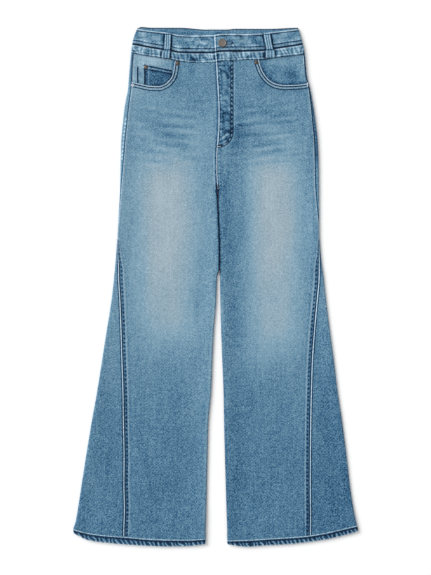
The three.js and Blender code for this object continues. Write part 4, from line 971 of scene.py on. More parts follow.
def makeHem(name, leg):
    gap, low = cloth["gap"], float(shape["lowest"])
    half, fold, length = leg["seam"](low) - cloth["gap"] / 2, quarterFold(low), float(clothLength(leg, low, False))
    over = np.concatenate([np.linspace(half + gap, length - fold, 120)[:-1],
                           np.linspace(length - fold, length - gap / 2, 7)])
    flare = np.concatenate([np.linspace(-half, -fold, 60)[:-1], np.linspace(-fold, fold, 11),
                            np.linspace(fold, half, 60)[1:]])
    ways = np.concatenate([flare, over, -over[::-1]])
    share = hemShare(leg, ways)
    stitchLine, edge = leg["hemStitch"](share) - gap / 2, leg["hemEdge"](share)
    rows = np.linspace(0, 1, hemLook["rows"])[:, None]
    y = lerp(stitchLine, edge, rows)
    # the leg still widens a little below: each way keeps its share of the section's length
    lowHalf, lowLength = leg["seam"](y) - gap / 2, clothLength(leg, y, False)
    further = lowHalf + (np.abs(ways) - half) * (lowLength - lowHalf) / (length - half)
    way = np.where(np.abs(ways) <= half + gap / 2, ways * lowHalf / half, np.sign(ways) * further)
    outerEdge, innerEdge, foldAt = leg["outer"](y), leg["inner"](y), foldRadius(y)

    def roping(u):
        turn = 2 * np.pi * (u + 0.5 * y * leg["sign"]) / creases["hemPitch"] + 1.2 * puckerNoise(u, y)
        return smoothstep(np.sin(turn), 0, 1.3) * 1.6 - 0.3

    def top(u):
        near = np.minimum(outerEdge - foldAt - u, u - innerEdge - foldAt)
        inside = smoothstep(rows, 0.05, 0.3) * (1 - smoothstep(rows, 0.8, 1))
        hemTop = middleHeight(low) + cloth["hem"] - cloth["panel"]
        face = lerp(2 * foldAt, hemTop, smoothstep(near, 0, shape["sag"]))
        return face + creases["hemRope"] * roping(u) * inside * smoothstep(near, 0, 8)

    section = {"outer": outerEdge, "inner": innerEdge, "fold": foldAt, "top": top}
    faces = []
    for depth in (0, cloth["hem"]):
        u, z = onSection(section, way, depth)
        faces.append(np.stack([leg["sign"] * u, y, z], -1))
    x = faces[0][..., 0]
    washAndShade = hemLook["washAndShade"] + washAndShadeAt(x, y) - washByHeight(y)
    # the roping is pale on its crests and dark in its hollows, in step with the relief: partly the wear of roping,
    # partly painted light and shade
    washAndShade = washAndShade + hemLook["rope"] * roping(np.abs(x)) * smoothstep(rows, 0.15, 0.6)
    values = {"washAndShade": washAndShade, "topOff": stitchLine - y, "bottomOff": y - edge}
    piece = addWall(name + "_cloth", faces[0], faces[1], denimHem, values, [name], ring=True)
    return declare(piece, "", **hemCloth)


for side, leg in (("right", rightLeg), ("left", leftLeg)):
    makeFlare("side_flare_" + side, leg)
    makeHem("hem_" + side, leg)
print("flares and hems made")

# pocket facings, the coin pocket and what lies under the fly
facing = {"hem": 20, "sideSteps": 10, "columns": 60, "rows": 40, "flat": (0.13, 0.09), "slot": "denim_pale",
          "washRight": 0.92, "washLeft": 0.47,
          # painted shade where the facing creases, then darker and paler places: middle, size, strength
          "spots": [{"x": 158, "y": 434, "across": 15, "along": 16, "amount": -0.34},
                    {"x": 150, "y": 462, "across": 40, "along": 9, "amount": 0.14},
                    {"x": 178, "y": 438, "across": 12, "along": 16, "amount": 0.22},
                    {"x": 110, "y": 438, "across": 16, "along": 14, "amount": -0.18},
                    {"x": -163, "y": 445, "across": 6, "along": 26, "amount": -0.32},
                    {"x": -153, "y": 435, "across": 8, "along": 14, "amount": -0.28},
                    {"x": -173, "y": 448, "across": 5, "along": 26, "amount": 0.5},
                    {"x": -98, "y": 454, "across": 17, "along": 12, "amount": -0.4},
                    {"x": -171, "y": 419, "across": 9, "along": 10, "amount": 0.3},
                    {"x": 185.5, "y": 462, "across": 2.6, "along": 9, "amount": -0.45}],
          # a sharp fold in each facing: how far out, the heights it runs between
          "folds": {-1: (159.6, 416, 452), 1: (180.6, 456, 475)}}
coin = {"inner": 89.6, "outer": 148.4, "innerTop": 446.5, "outerTop": 458, "clear": 1.2, "washAndShade": 0.15,
        "flat": (0.06, 0.04), "slot": "denim_dark"}


def makeFacing(name, leg, washAndShade):
    inner = leg["scoop"][0][0] - facing["hem"]
    bottom = min(row[1] for row in leg["scoop"]) - facing["hem"]
    share = np.concatenate([np.linspace(0, 0.1, facing["sideSteps"], endpoint=False),
                            np.linspace(0.1, 1, facing["columns"])])

    def wayAt(y):
        end = quarterFold(y) + leg["outer"](y) - foldRadius(y) - inner
        return lerp(leg["seam"](y) + cloth["gap"] / 2, end, share)

    def outward(y):
        return leg["sign"] * onBody(leg, y, wayAt(y), 0, noRelief)[..., 0]

    top = meet(lambda u: leg["bandBottom"](u) - cloth["gap"], outward, len(share))
    y = lerp(top, bottom, np.linspace(0, 1, facing["rows"])[:, None])
    depth = cloth["panel"] + cloth["gap"]
    outer = onBody(leg, y, wayAt(y), depth, noRelief)
    under = onBody(leg, y, wayAt(y), depth + cloth["pocket"], noRelief)
    x = outer[..., 0]
    near = distanceTo(x, y, scoopRim(leg))
    # painted shadow along the facing under the scoop's rim
    wornAndShaded = washAndShade + 0.04 * puckerNoise(x, y) - 0.5 * np.exp(-(near / 5) ** 2)
    wornAndShaded = wornAndShaded + spotWearAndShade(facing["spots"], x, y)
    # each facing's sharp fold is painted: the right facing's crease as a dark line of painted shade, the left facing's
    # fold as a painted highlight
    at, low, high = facing["folds"][leg["sign"]]
    away = np.abs(x) - at + 400 * (1 - smoothstep(y, low - 5, low) * (1 - smoothstep(y, high, high + 5)))
    far = 400 + 0 * away
    creased = {"creaseOff": far, "glintOff": away} if leg is leftLeg else {"creaseOff": away, "glintOff": far}
    piece = addWall(name + "_cloth", outer, under, denimFacing, {"washAndShade": wornAndShaded, **creased}, [name])
    return declare(piece, "", **facing)


def makeCoinPocket():
    share = np.linspace(0, 1, 64)
    u = lerp(coin["inner"], coin["outer"], share)
    top = lerp(coin["innerTop"], coin["outerTop"], share)
    bottom = rightLeg["scoopLine"](u - coin["clear"]) + coin["clear"]
    y = lerp(top, bottom, np.linspace(0, 1, 44)[:, None])
    u = u + 0 * y
    outer = np.stack([-u, y, frontTop(rightLeg, u, y, noRelief) - (cloth["panel"] - cloth["pocket"])], -1)
    under = outer - [0, 0, cloth["pocket"]]
    corner = np.exp(-((u - 93) / 3.5) ** 2 - ((y - 438) / 7) ** 2)
    washAndShade = coin["washAndShade"] + 0.05 * puckerNoise(u, y) - 0.3 * corner + 0.1 * smoothstep(y, 440, 450)
    values = {"washAndShade": washAndShade, "topOff": top - y, "sideOff": coin["outer"] - u,
              "rimOff": distanceTo(-u, y, scoopRim(rightLeg))}
    piece = addWall("coin_pocket_cloth", outer, under, denimPocket, values, ["coin_pocket"])
    return declare(piece, "", **coin)


makeFacing("pocket_facing_right", rightLeg, facing["washRight"])
makeFacing("pocket_facing_left", leftLeg, facing["washLeft"])
makeCoinPocket()
print("pockets made")

flyFacing = {"start": 6.3, "end": 30.5, "bottom": 288, "top": 460, "depth": 1.8, "thick": 1.0,
             "flat": (0.026, 0.175), "slot": "denim_dark", "washAndShade": 0.2}
zipper = {"left": -12, "right": 24, "bottom": 322, "top": 459, "depth": 2.3, "thick": 0.6, "pitch": 2.4,
          "tooth": (3.4, 1.3, 1.0), "flat": (0.036, 0.137), "slot": "zip_tape"}


def makeUnderFly():  # the fly's facing and the zip, both hidden under the closed front
    y = np.linspace(flyFacing["top"], flyFacing["bottom"], 60)[:, None]
    u = flyEdge(y) + lerp(flyFacing["start"], flyFacing["end"] - flyEdge(y), np.linspace(0, 1, 14))
    z = frontTop(leftLeg, u, y, lambda *place: 0.5 * frontRelief(*place)) - flyFacing["depth"]
    top = np.stack([u, y + 0 * u, z], -1)
    piece = addWall("fly_facing_cloth", top, top - [0, 0, flyFacing["thick"]], denimFacing,
                    {"washAndShade": flyFacing["washAndShade"] + 0 * u, "creaseOff": 400 + 0 * u, "glintOff": 400 + 0 * u},
                    ["fly_facing"])
    declare(piece, "", **flyFacing)

    y = np.linspace(zipper["top"], zipper["bottom"], 60)[:, None]
    x = np.linspace(zipper["left"], zipper["right"], 14) + 0 * y
    top = np.stack([x, y + 0 * x, middleTop(x, y) - zipper["depth"]], -1)
    declare(addWall("fly_zip_tape", top, top - [0, 0, zipper["thick"]], zipTape, {}, ["fly_zip"]), "", **zipper)
    middle = (zipper["left"] + zipper["right"]) / 2
    boxes = []
    for i, height in enumerate(np.arange(zipper["bottom"] + 3, zipper["top"] - 14, zipper["pitch"] / 2)):
        boxes.append((middle + (0.7 if i % 2 else -0.7), height, zipper["tooth"]))
    points, faces = [], []
    for x, height, (wide, long, thick) in boxes:  # each tooth is a rounded bar, narrower at its top
        z = float(middleTop(x, height)) - zipper["depth"] + 0.02
        ring = [(-1, -1), (0, -1.15), (1, -1), (1.1, 0), (1, 1), (0, 1.15), (-1, 1), (-1.1, 0)]
        base = len(points)
        for lift, size in ((0, 1), (thick * 0.6, 1), (thick * 0.78, 0.7)):
            points += [(x + a * wide / 2 * size, height + b * long / 2.3 * size, z + lift) for a, b in ring]
        for row in (0, 8):
            faces += [(base + row + k, base + row + (k + 1) % 8, base + row + 8 + (k + 1) % 8, base + row + 8 + k)
                      for k in range(8)]
        faces += [(base + 16 + a, base + 16 + b, base + 16 + c, base + 16 + d)
                  for a, b, c, d in ((0, 1, 2, 3), (0, 3, 4, 7), (4, 5, 6, 7))]
        faces += [(base + d, base + c, base + b, base + a) for a, b, c, d in ((0, 1, 2, 3), (0, 3, 4, 7), (4, 5, 6, 7))]
    addMesh("fly_zip_teeth", points, faces, bronze)


makeUnderFly()
print("zip and fly facing made")

loops = {
    # height, centre line out from the middle, width, how far it stands off the band
    "belt_loop_front_right": [(519, 97.6, 12, 0.3), (514, 97.8, 12.6, 1.5), (500, 98.4, 12.8, 1.8),
                              (486, 99.4, 13.2, 1.5), (482, 101.4, 16.4, 1.2), (474, 102.4, 16.8, 0.9),
                              (469, 102.6, 16.4, 0.3)],
    "belt_loop_front_left": [(519, 105, 13.6, 0.3), (514, 105.4, 13.8, 1.5), (500, 108, 13.8, 1.8),
                             (488, 110.4, 13.8, 1.5), (484, 111.4, 18, 1.2), (475, 111.8, 19, 0.9),
                             (470, 111.8, 18.6, 0.3)],
}
# the two-tier waistband
band = {"backRise": 1.3, "backEdge": 2.6,  # how far the back stands above its solid; its top row is turned in
        "backSpots": [{"x": 6, "y": 520, "across": 9, "along": 4, "amount": -0.4},
                      {"x": -60, "y": 521, "across": 60, "along": 2, "amount": -0.2}],
        "spots": [{"x": 147, "y": 469.5, "across": 22, "along": 2.6, "amount": 0.35},
                  {"x": -145, "y": 500, "across": 28, "along": 20, "amount": 0.12},
                  {"x": 94, "y": 507, "across": 5, "along": 10, "amount": -0.38},
                  {"x": -52, "y": 470, "across": 30, "along": 9, "amount": -0.3},
                  {"x": 98, "y": 470, "across": 16, "along": 9, "amount": -0.3},
                  {"x": -108, "y": 500, "across": 6, "along": 12, "amount": -0.2},
                  {"x": -40, "y": 503, "across": 34, "along": 2, "lean": -0.28, "amount": 0.35},
                  {"x": -60, "y": 500, "across": 30, "along": 2, "lean": -0.3, "amount": -0.25},
                  {"x": -15.5, "y": 516, "across": 6, "along": 2.2, "amount": 0.5}],
        "fold": 3.6, "underlap": 42, "lowerEnd": 9, "upperRamp": (44, 62), "lowerRamp": (12, 30),
        "flyRamp": (31, 40), "loopCentre": 2.9, "loopClear": (14, 28), "columns": 150, "rows": 15,
        "washUpper": 0.51, "washLower": 0.58, "washBack": 0.45}
bandCloth = {
    "waistband_upper_front_right": {"flat": (0.22, 0.037), "slot": "denim"},
    "waistband_lower_front_right": {"flat": (0.19, 0.021), "slot": "denim"},
    "waistband_upper_front_left": {"flat": (0.185, 0.037), "slot": "denim"},
    "waistband_lower_front_left": {"flat": (0.185, 0.021), "slot": "denim"},
    "waistband_upper_back": {"flat": (0.36, 0.034), "slot": "denim"},
    "waistband_lower_back": {"flat": (0.36, 0.019), "slot": "denim"},
}
keyhole = {"x": 13.7, "y": 499.4, "hole": 3, "slit": 1, "slitEnd": 37}


def upperRise(u):
    return (cloth["band"] + cloth["gap"]) * (1 - smoothstep(u, *band["upperRamp"]))


def lowerRise(u):
    overEnd = (cloth["band"] + cloth["gap"]) * (1 - smoothstep(u, *band["lowerRamp"]))
    return np.maximum(overEnd, shape["flyRise"] * (1 - smoothstep(u, *band["flyRamp"])))


def loopCentre(name, y):
    rows = loops[name][::-1]
    heights = [row[0] for row in rows]
    return [np.interp(y, heights, [row[i] for row in rows]) for i in (1, 2, 3)]


def frontBand(name, leg, upper, lower, inner, rise, washAndShade, puckered, material):
    share = np.concatenate([np.linspace(0, 0.05, 14, endpoint=False), np.linspace(0.05, 1, band["columns"])])

    def wayAt(y):
        length = (math.pi / 2 - 1) * band["fold"] + leg["outer"](y) - inner(y)
        return lerp(cloth["gap"] / 2, length, share)

    def sectionAt(y, bumps):
        def top(u):
            relief = 0
            if bumps:
                x = leg["sign"] * u
                turn = 2 * np.pi * (x + creases["bandLean"] * y) / creases["bandPitch"] + 2 * puckerNoise(x, y)
                within = smoothstep(rows, 0, 0.25) * (1 - smoothstep(rows, 0.75, 1))
                relief = creases["bandPucker"] * puckered * np.sin(turn) * within
            return 2 * band["fold"] + rise(u) + relief
        return {"outer": leg["outer"](y), "fold": band["fold"], "top": top}

    def outward(y):
        return onSection(sectionAt(y, False), wayAt(y), 0)[0]

    topLine, bottomLine = meet(upper, outward, len(share)), meet(lower, outward, len(share))
    rows = np.linspace(0, 1, band["rows"])[:, None]
    y = lerp(topLine, bottomLine, rows)
    faces = []
    for depth in (0, cloth["band"]):
        u, z = onSection(sectionAt(y, depth == 0), wayAt(y), depth)
        faces.append(np.stack([leg["sign"] * u, y, z], -1))
    x = faces[0][..., 0]
    turn = 2 * np.pi * (x + creases["bandLean"] * y) / creases["bandPitch"] + 2 * puckerNoise(x, y)
    wornAndShaded = washAndShade + 0.5 * (washAndShadeAt(x, y) - washByHeight(y)) + 0.22 * blotches(0.4 * x, y)
    # painted light and shade on the band's puckers, in step with their relief
    wornAndShaded = wornAndShaded + 0.3 * puckered * np.sin(turn) * np.where(puckered == 1, smoothstep(rows, 0.05, 0.3), 0.3)
    wornAndShaded = wornAndShaded + spotWearAndShade(band["spots"], x, y)
    angle = np.arctan2(y - keyhole["y"], x - keyhole["x"])  # painted light and shade of drag creases that run out from the button
    away = np.hypot(y - keyhole["y"], x - keyhole["x"])
    drag = np.sin(17 * angle + 2.5 * puckerNoise(away, 8 * angle)) * smoothstep(away, 14, 24) * (1 - smoothstep(away, 55, 85))
    wornAndShaded = wornAndShaded + drag * np.where(x < flyEdge(y), 0.22, 0.12)
    toEnd = (x - flyEdge(y)) if leg is leftLeg else 60 + 0 * x
    # painted shadow on the right band beside the left band's end
    if leg is rightLeg:
        wornAndShaded = wornAndShaded - 0.3 * np.exp(-((flyEdge(y) - x - 1.5) / 2) ** 2)
    centre, width, lift = loopCentre("belt_loop_front_" + ("right" if leg is rightLeg else "left"), y)
    fromLoop = np.abs(np.abs(x) - centre) - width / 2 + 60 * (y > 520)
    # painted shade on the band beside each belt loop, on its side towards the middle
    wornAndShaded = wornAndShaded - 0.14 * np.exp(-(np.maximum(fromLoop, 0) / 9) ** 2) * (np.abs(x) < centre)
    values = {"washAndShade": wornAndShaded, "topOff": topLine - y, "bottomOff": y - bottomLine, "endOff": toEnd, "loopOff": fromLoop}
    piece = addWall(name + "_cloth", faces[0], faces[1], material, values, [name])
    return declare(piece, "", **bandCloth[name])


def backBand(name, upper, lower, washAndShade, material):
    shares = np.concatenate([np.linspace(0, 0.05, 14, endpoint=False), np.linspace(0.05, 0.995, 90)])
    halves = []

    def floor(x):
        return (cloth["loop"] + cloth["gap"]) * (1 - smoothstep(np.abs(x - band["loopCentre"]), *band["loopClear"]))

    for leg in (rightLeg, leftLeg):
        def wayAt(y):
            length = (math.pi / 2 - 1) * band["fold"] + leg["outer"](y) - leg["sign"] * band["loopCentre"]
            return -lerp(cloth["gap"] / 2, length, shares)

        def at(y, depth):
            section = {"outer": leg["outer"](y), "fold": band["fold"], "top": lambda u: 0 * u,
                       "floor": lambda u: floor(leg["sign"] * u)}
            return onSection(section, wayAt(y), depth)

        top, bottom = [meet(lambda u: line(leg["sign"] * u), lambda y: at(y, 0)[0], len(shares))
                       for line in (upper, lower)]
        y = lerp(top, bottom, np.linspace(0, 1, 11)[:, None])
        both = []
        for depth in (0, cloth["band"]):
            u, z = at(y, depth)
            both.append(np.stack([leg["sign"] * u, y, z], -1))
        both.append(np.stack([top - y, y - bottom], -1))
        halves.append(both if leg is rightLeg else [part[:, ::-1] for part in both])
    outer, under, off = [np.concatenate(parts, axis=1) for parts in zip(*halves)]
    wornAndShaded = washAndShade + 0.05 * mottle(outer[..., 0], outer[..., 1]) + spotWearAndShade(band["backSpots"], outer[..., 0], outer[..., 1])
    apart = 60 + 0 * wornAndShaded
    values = {"washAndShade": wornAndShaded, "topOff": off[..., 0] + band["backEdge"], "bottomOff": off[..., 1],
              "endOff": apart, "loopOff": apart}
    piece = addWall(name + "_cloth", outer, under, material, values, [name])
    return declare(piece, "", **bandCloth[name])


def above(line):
    return lambda u: line(u) + cloth["gap"] / 2


def below(line):
    return lambda u: line(u) - cloth["gap"] / 2


def level(u):
    return 0 * u


frontBand("waistband_upper_front_right", rightLeg, rightLeg["bandTop"], above(rightLeg["bandMiddle"]),
          lambda y: 0 * y - band["underlap"], level, band["washUpper"], 0.5, denimUpperBand)
frontBand("waistband_lower_front_right", rightLeg, below(rightLeg["bandMiddle"]), rightLeg["bandBottom"],
          lambda y: 0 * y - band["lowerEnd"], level, band["washLower"], 1, denimLowerBand)
upperLeft = frontBand("waistband_upper_front_left", leftLeg, leftLeg["bandTop"], above(leftLeg["bandMiddle"]),
                      flyEdge, upperRise, band["washUpper"], 0.5, denimUpperBand)
frontBand("waistband_lower_front_left", leftLeg, below(leftLeg["bandMiddle"]), leftLeg["bandBottom"],
          flyEdge, lowerRise, band["washLower"], 1, denimLowerBand)
backBand("waistband_upper_back", lambda x: backTop(x) + band["backRise"], above(backMiddle), band["washBack"], denimUpperBand)
backBand("waistband_lower_back", below(backMiddle), backBottom, band["washBack"], denimLowerBand)
print("waistband made")

# belt loops
loopLook = {"flat": (0.014, 0.05), "slot": "denim", "washAndShade": 0.52, "ridge": 0.35, "rows": 44, "columns": 15}
backLoop = {"centre": 2.9, "width": 24.6, "top": 525.6, "bottom": 476, "flat": (0.025, 0.05),
            "slot": "denim_dark", "washAndShade": 0.2}


def makeLoop(name, leg):
    y = np.linspace(loops[name][0][0], loops[name][-1][0], loopLook["rows"])[:, None]
    centre, width, lift = loopCentre(name, y)
    share = np.linspace(0, 1, loopLook["columns"])
    u = centre + (share - 0.5) * width
    fromEdge = np.minimum(share, 1 - share) * width
    ridge = np.exp(-((fromEdge - 2.2) / 1.1) ** 2)
    bottom = 2 * band["fold"] + lift
    top = bottom + cloth["loop"] + loopLook["ridge"] * (ridge - 1)
    outer = np.stack([leg["sign"] * u, y + 0 * u, top], -1)
    under = np.stack([leg["sign"] * u, y + 0 * u, bottom + 0 * u], -1)
    foot = np.minimum(np.abs(y - 485.5), np.abs(y - 517.2))
    washAndShade = loopLook["washAndShade"] + 0 * u
    values = {"washAndShade": washAndShade, "ridgeOff": fromEdge - 2.2, "middleOff": width / 2 - fromEdge, "footOff": foot}
    piece = addWall(name + "_cloth", outer, under, denimLoop, values, [name])
    return declare(piece, "", **loopLook)


for side, leg in (("right", rightLeg), ("left", leftLeg)):
    makeLoop("belt_loop_front_" + side, leg)
x = np.linspace(-0.5, 0.5, 16) * backLoop["width"] + backLoop["centre"]
y = np.linspace(backLoop["top"], backLoop["bottom"], 30)[:, None]
grid = np.stack([x + 0 * y, y + 0 * x, 0 * x * y], -1)
fromEdge = backLoop["width"] / 2 - np.abs(grid[..., 0] - backLoop["centre"])
piece = addWall("belt_loop_centre_back_cloth", grid, grid + [0, 0, cloth["loop"]], denimLoop,
                {"washAndShade": backLoop["washAndShade"] + 0 * fromEdge, "ridgeOff": fromEdge - 2.2,
                 "middleOff": 60 + fromEdge, "footOff": 60 + fromEdge}, ["belt_loop_centre_back"])
declare(piece, "", **backLoop)
print("belt loops made")

# metal
button = {"x": 13.7, "y": 499.4, "z": 7.5, "radius": 8.5, "shank": 2.2, "clear": 2.9}
buttonOutline = [(0, 0), (2.2, 0), (2.2, 2.9), (7.7, 2.9), (8.2, 3.1), (8.5, 3.5), (8.5, 3.9), (8.4, 4.3),
                 (8.15, 4.8), (7.8, 5.15), (7.4, 5.3), (6.9, 5.25), (6.5, 5.0), (6.2, 4.9), (4, 4.95), (0, 5.0)]
rivetOutline = [(0, 0), (4.4, 0), (4.4, 0.25), (4.1, 0.55), (3.6, 0.85), (3.0, 1.0), (1.9, 1.0), (1.6, 1.1),
                (1.3, 1.5), (1.0, 1.6), (0, 1.6)]
rivets = [("rivet_pocket_right", -77.8, 458.2, 0), ("rivet_pocket_left", 83.6, 460.4, 0),
          ("rivet_coin_pocket", -142.6, 450.6, 0.2)]


def addTurned(name, outline, x, y, z, material, segments=40):
    angle = np.linspace(0, 2 * np.pi, segments, endpoint=False)
    profile = np.array(outline)
    points = np.stack([profile[:, :1] * np.cos(angle) + x, profile[:, :1] * np.sin(angle) + y,
                       profile[:, 1:] + z + 0 * angle], -1).reshape(-1, 3)
    index = np.arange(len(points)).reshape(len(outline), segments)
    index = np.concatenate([index, index[:, :1]], axis=1)
    faces = quads(index[:-1, :-1], index[:-1, 1:], index[1:, 1:], index[1:, :-1])
    piece = addMesh(name + "_metal", points, faces, material, nodes=[name])
    clean = bmesh.new()
    clean.from_mesh(piece.data)
    bmesh.ops.remove_doubles(clean, verts=clean.verts, dist=1e-6)
    bmesh.ops.recalc_face_normals(clean, faces=clean.faces)
    clean.to_mesh(piece.data)
    clean.free()
    return piece


addTurned("waist_button", buttonOutline, button["x"], button["y"], button["z"], bronze, 64)
for name, x, y, sunk in rivets:
    leg = rightLeg if x < 0 else leftLeg
    z = float(frontTop(leg, np.abs(x), y, noRelief)) - sunk + cloth["gap"]
    addTurned(name, rivetOutline, x, y, z, copper)
print("metal made")

# sewing thread, a row of short stitches at a time
stitch = {"pitch": 3.3, "length": 2.9, "radius": 0.42, "flatten": 0.7, "lift": 0.12}


def endsAlong(path):  # where each stitch of a row starts and ends
    path = np.asarray(path, float)
    step = np.linalg.norm(np.diff(path, axis=0), axis=1)
    run = np.concatenate([[0], np.cumsum(step)])
    count = max(int(run[-1] / stitch["pitch"]), 1)
    first = np.arange(count) * run[-1] / count + (stitch["pitch"] - stitch["length"]) / 2

    def at(distance):
        return np.stack([np.interp(distance, run, path[:, i]) for i in range(3)], -1)

    return at(first), at(first + stitch["length"])


def threadBetween(a, b):  # vertices and faces of one short stitch from each point of a to its point of b
    along = b - a
    length = np.linalg.norm(along, axis=1, keepdims=True)
    along = along / np.maximum(length, 1e-6)
    side = np.cross([0, 0, 1], along)
    side = side / np.maximum(np.linalg.norm(side, axis=1, keepdims=True), 1e-6)
    up = np.cross(along, side)
    rings = []
    for share, size in ((0, 0), (0.12, 0.75), (0.5, 1), (0.88, 0.75), (1, 0)):
        middle = a + (b - a) * share + up * stitch["lift"] - up * 0.35 * (abs(share - 0.5) * 2) ** 2
        count6 = 6 if size else 1
        for k in range(count6):
            angle = 2 * math.pi * k / 6
            rings.append(middle + size * stitch["radius"] * (math.cos(angle) * side + stitch["flatten"] * math.sin(angle) * up))
    points = np.stack(rings, 1)  # count, 20, 3
    faces = []
    for k in range(6):
        m = (k + 1) % 6
        faces.append((0, 1 + m, 1 + k, 1 + k))
        for ring in (1, 7):
            faces.append((ring + k, ring + m, ring + 6 + m, ring + 6 + k))
        faces.append((19, 13 + k, 13 + m, 13 + m))
    offset = np.arange(len(a))[:, None, None] * 20
    return points.reshape(-1, 3), (np.array(faces)[None] + offset).reshape(-1, 4)


def sew(name, paths, material, tacks=()):
    points, faces, base = [], [], 0
    for a, b in [endsAlong(path) for path in paths] + list(tacks):
        p, f = threadBetween(a, b)
        points.append(p)
        faces.append(f + base)
        base += len(p)
    points, faces = np.concatenate(points), np.concatenate(faces)
    mesh = bpy.data.meshes.new(name)
    split = [list(dict.fromkeys(face)) for face in faces.tolist()]
    mesh.from_pydata((points * millimetre).tolist(), [], split)
    mesh.materials.append(material)
    mesh.shade_smooth()
    piece = bpy.data.objects.new(name, mesh)
    bpy.context.scene.collection.objects.link(piece)
    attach(piece, "root")
    return piece


def onFront(leg, u, y):
    return np.stack([leg["sign"] * u, y, frontTop(leg, u, y)], -1)


def scoopRow(leg, away):  # a row beside the scoop, on the front panel
    rim = scoopRim(leg, 90)
    rim = rim[(np.abs(rim[:, 0]) < leg["scoop"][-1][0] - 1)]
    along = np.gradient(rim, axis=0)
    normal = np.stack([along[:, 1], -along[:, 0]], -1)
    normal /= np.linalg.norm(normal, axis=1, keepdims=True)
    inward = normal * np.where(normal[:, 1:] > 0, -1, 1)
    row = rim + away * inward
    return onFront(leg, leg["sign"] * row[:, 0], row[:, 1])


def seamRow(leg):  # down the front beside the side seam, further in beside the flare
    y = np.linspace(400, -490, 400)
    way = leg["seam"](y) + 11.2 / flareNarrowing(y)
    return onBody(leg, y, way, 0)


def flyRow(inside):  # down the fly and round its curved end
    angle = np.linspace(0, math.pi / 2, 24)
    y = np.concatenate([np.linspace(456, shape["flyBend"], 60), shape["flyBend"] - (shape["flyBend"] - shape["flyBottom"]) * np.sin(angle[1:])])
    width = shape["flyStitch"] - flyEdge(y)
    drop = np.clip((shape["flyBend"] - y) / (shape["flyBend"] - shape["flyBottom"]), 0, 1)
    x = flyEdge(y) + (width - inside) * np.sqrt(np.maximum(1 - drop ** 2, 0))
    return onFront(leftLeg, x, y)


def bandRow(leg, line, away, start, end, rise):
    u = np.linspace(start, end, 120)
    y = line(u) + away
    return np.stack([leg["sign"] * u, y, 2 * band["fold"] + rise(u) + 0 * u], -1)


def starTack(leg, u, y, inner, outer, count=22):  # stitches set round a point, longest to its four sides
    angle = np.linspace(0, 2 * np.pi, count, endpoint=False)
    reach = outer / (np.abs(np.cos(angle)) + np.abs(np.sin(angle)))
    out, up = np.cos(angle), np.sin(angle)
    return tuple(onFront(leg, u + out * far, y + up * far) for far in (inner + 0 * reach, reach))


def barTack(leg, u, y, length, width, upright=True):  # close stitches side by side
    place = np.linspace(-0.5, 0.5, max(int(length / 0.7), 2)) * length
    ends = []
    for side in (-0.5, 0.5):
        across = side * width + 0 * place
        ends.append(onFront(leg, u + across, y + place) if upright else onFront(leg, u + place, y + across))
    return tuple(ends)


def keyholeTacks():  # the thread round the keyhole, pointed at its far end
    x = np.linspace(keyhole["x"] + 4, keyhole["slitEnd"] + 0.6, 30)
    half = np.interp(x, [18, 26, 32, 37.6], [3.2, 4.4, 3.2, 0.9])
    z = 2 * band["fold"] + upperRise(x) + 0.15
    return [tuple(np.stack([x, keyhole["y"] + side * reach, z], -1) for reach in ends)
            for side in (-1, 1) for ends in ((0 * x, 0 * x + 0.5), (np.maximum(half - 1.7, 0.5), half))]


for side, leg in (("right", rightLeg), ("left", leftLeg)):
    sew("topstitch_pocket_" + side, [scoopRow(leg, 1.2), scoopRow(leg, 5.4)], threadPale)
    sew("topstitch_seam_" + side, [seamRow(leg)], threadPale)
flyEdgeY = np.linspace(458, 200, 120)
sew("topstitch_fly", [flyRow(0), flyRow(5.5)], threadNavy)
sew("topstitch_fly_edge", [onFront(leftLeg, flyEdge(flyEdgeY) + 1.2, flyEdgeY)], threadWhite)
rightStart, leftStart = -flyEdge(499.0) + 0.8, flyEdge(499.0) + 1
sew("topstitch_band_right", [
    bandRow(rightLeg, rightLeg["bandTop"], -2.2, 2, 160, level),
    bandRow(rightLeg, rightLeg["bandMiddle"], 5.8, 2, 164, level),
    bandRow(rightLeg, rightLeg["bandMiddle"], -2.2, 2, 166, level),
    bandRow(rightLeg, rightLeg["bandBottom"], 2.2, 2, 168, level),
], threadPale)
sew("topstitch_band_left", [
    bandRow(leftLeg, leftLeg["bandTop"], -2.2, leftStart, 170, upperRise),
    bandRow(leftLeg, leftLeg["bandMiddle"], 5.8, leftStart, 174, upperRise),
    bandRow(leftLeg, leftLeg["bandMiddle"], -2.2, leftStart + 1, 176, lowerRise),
    bandRow(leftLeg, leftLeg["bandBottom"], 2.2, leftStart + 2, 178, lowerRise),
], threadPale)
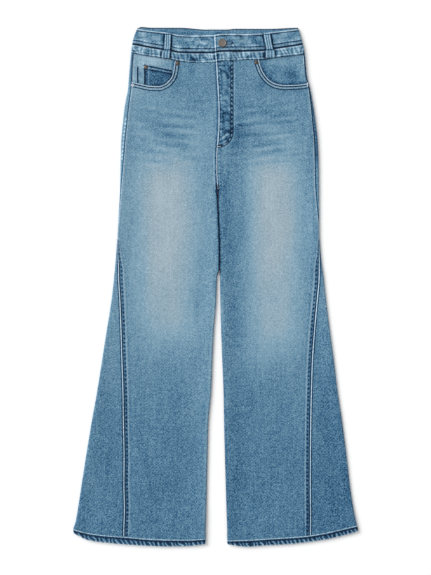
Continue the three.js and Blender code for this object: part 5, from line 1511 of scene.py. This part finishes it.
sew("bar_tacks", [], threadWhite, tacks=[
    starTack(rightLeg, 170, 413.5, 1.4, 4.6), barTack(leftLeg, 188.5, 415, 7, 2.6),
    barTack(leftLeg, 7, 287.5, 7, 2, False)])
sew("keyhole_thread", [], threadNavy, keyholeTacks())
print("thread sewn")

# floor, light and camera
studio = {"floorSize": 12, "floorColour": (255, 255, 255), "world": 0.57, "sun": 2.65, "sunAngle": 42,
          "sunFrom": (-0.72, 0.42, 0.58)}
view = {"place": (-0.0002, -0.001, 2.7882), "lens": 85}

floorMesh = bpy.data.meshes.new("floor")
half = studio["floorSize"] / 2
floorMesh.from_pydata([(-half, -half, 0), (half, -half, 0), (half, half, 0), (-half, half, 0)], [], [(0, 1, 2, 3)])
floor = bpy.data.objects.new("floor", floorMesh)
bpy.context.scene.collection.objects.link(floor)
material, tree, shader, place = newMaterial("floor_paper")
tone = noiseNode(tree, place, 40, (1, 1, 1))
c = studio["floorColour"]
tree.links.new(rampNode(tree, tone, [(0.3, *[v - 1 for v in c]), (0.7, *c)]), shader.inputs["Base Color"])
shader.inputs["Roughness"].default_value = 0.95
shader.inputs["Specular IOR Level"].default_value = 0.1
floorMesh.materials.append(material)

world = bpy.data.worlds.new("studio")
bpy.context.scene.world = world
world.use_nodes = True
world.node_tree.nodes["Background"].inputs["Color"].default_value = (1, 1, 1, 1)
world.node_tree.nodes["Background"].inputs["Strength"].default_value = studio["world"]
lampData = bpy.data.lights.new("window", "SUN")  # a broad, soft light from the upper left
lampData.energy = studio["sun"]
lampData.angle = math.radians(studio["sunAngle"])
lamp = bpy.data.objects.new("window", lampData)
lamp.rotation_euler = Vector(studio["sunFrom"]).to_track_quat("Z", "Y").to_euler()
bpy.context.scene.collection.objects.link(lamp)

cameraData = bpy.data.cameras.new("camera")
cameraData.lens = view["lens"]
cameraData.sensor_width = 36
camera = bpy.data.objects.new("camera", cameraData)
camera.location = view["place"]
bpy.context.scene.collection.objects.link(camera)
bpy.context.scene.camera = camera
bpy.context.scene.view_settings.view_transform = "Standard"

triangles = sum(len(face.vertices) - 2 for piece in bpy.data.objects if piece.type == "MESH" and not piece.hide_render
                for face in piece.data.polygons)
print("triangles shown:", triangles)
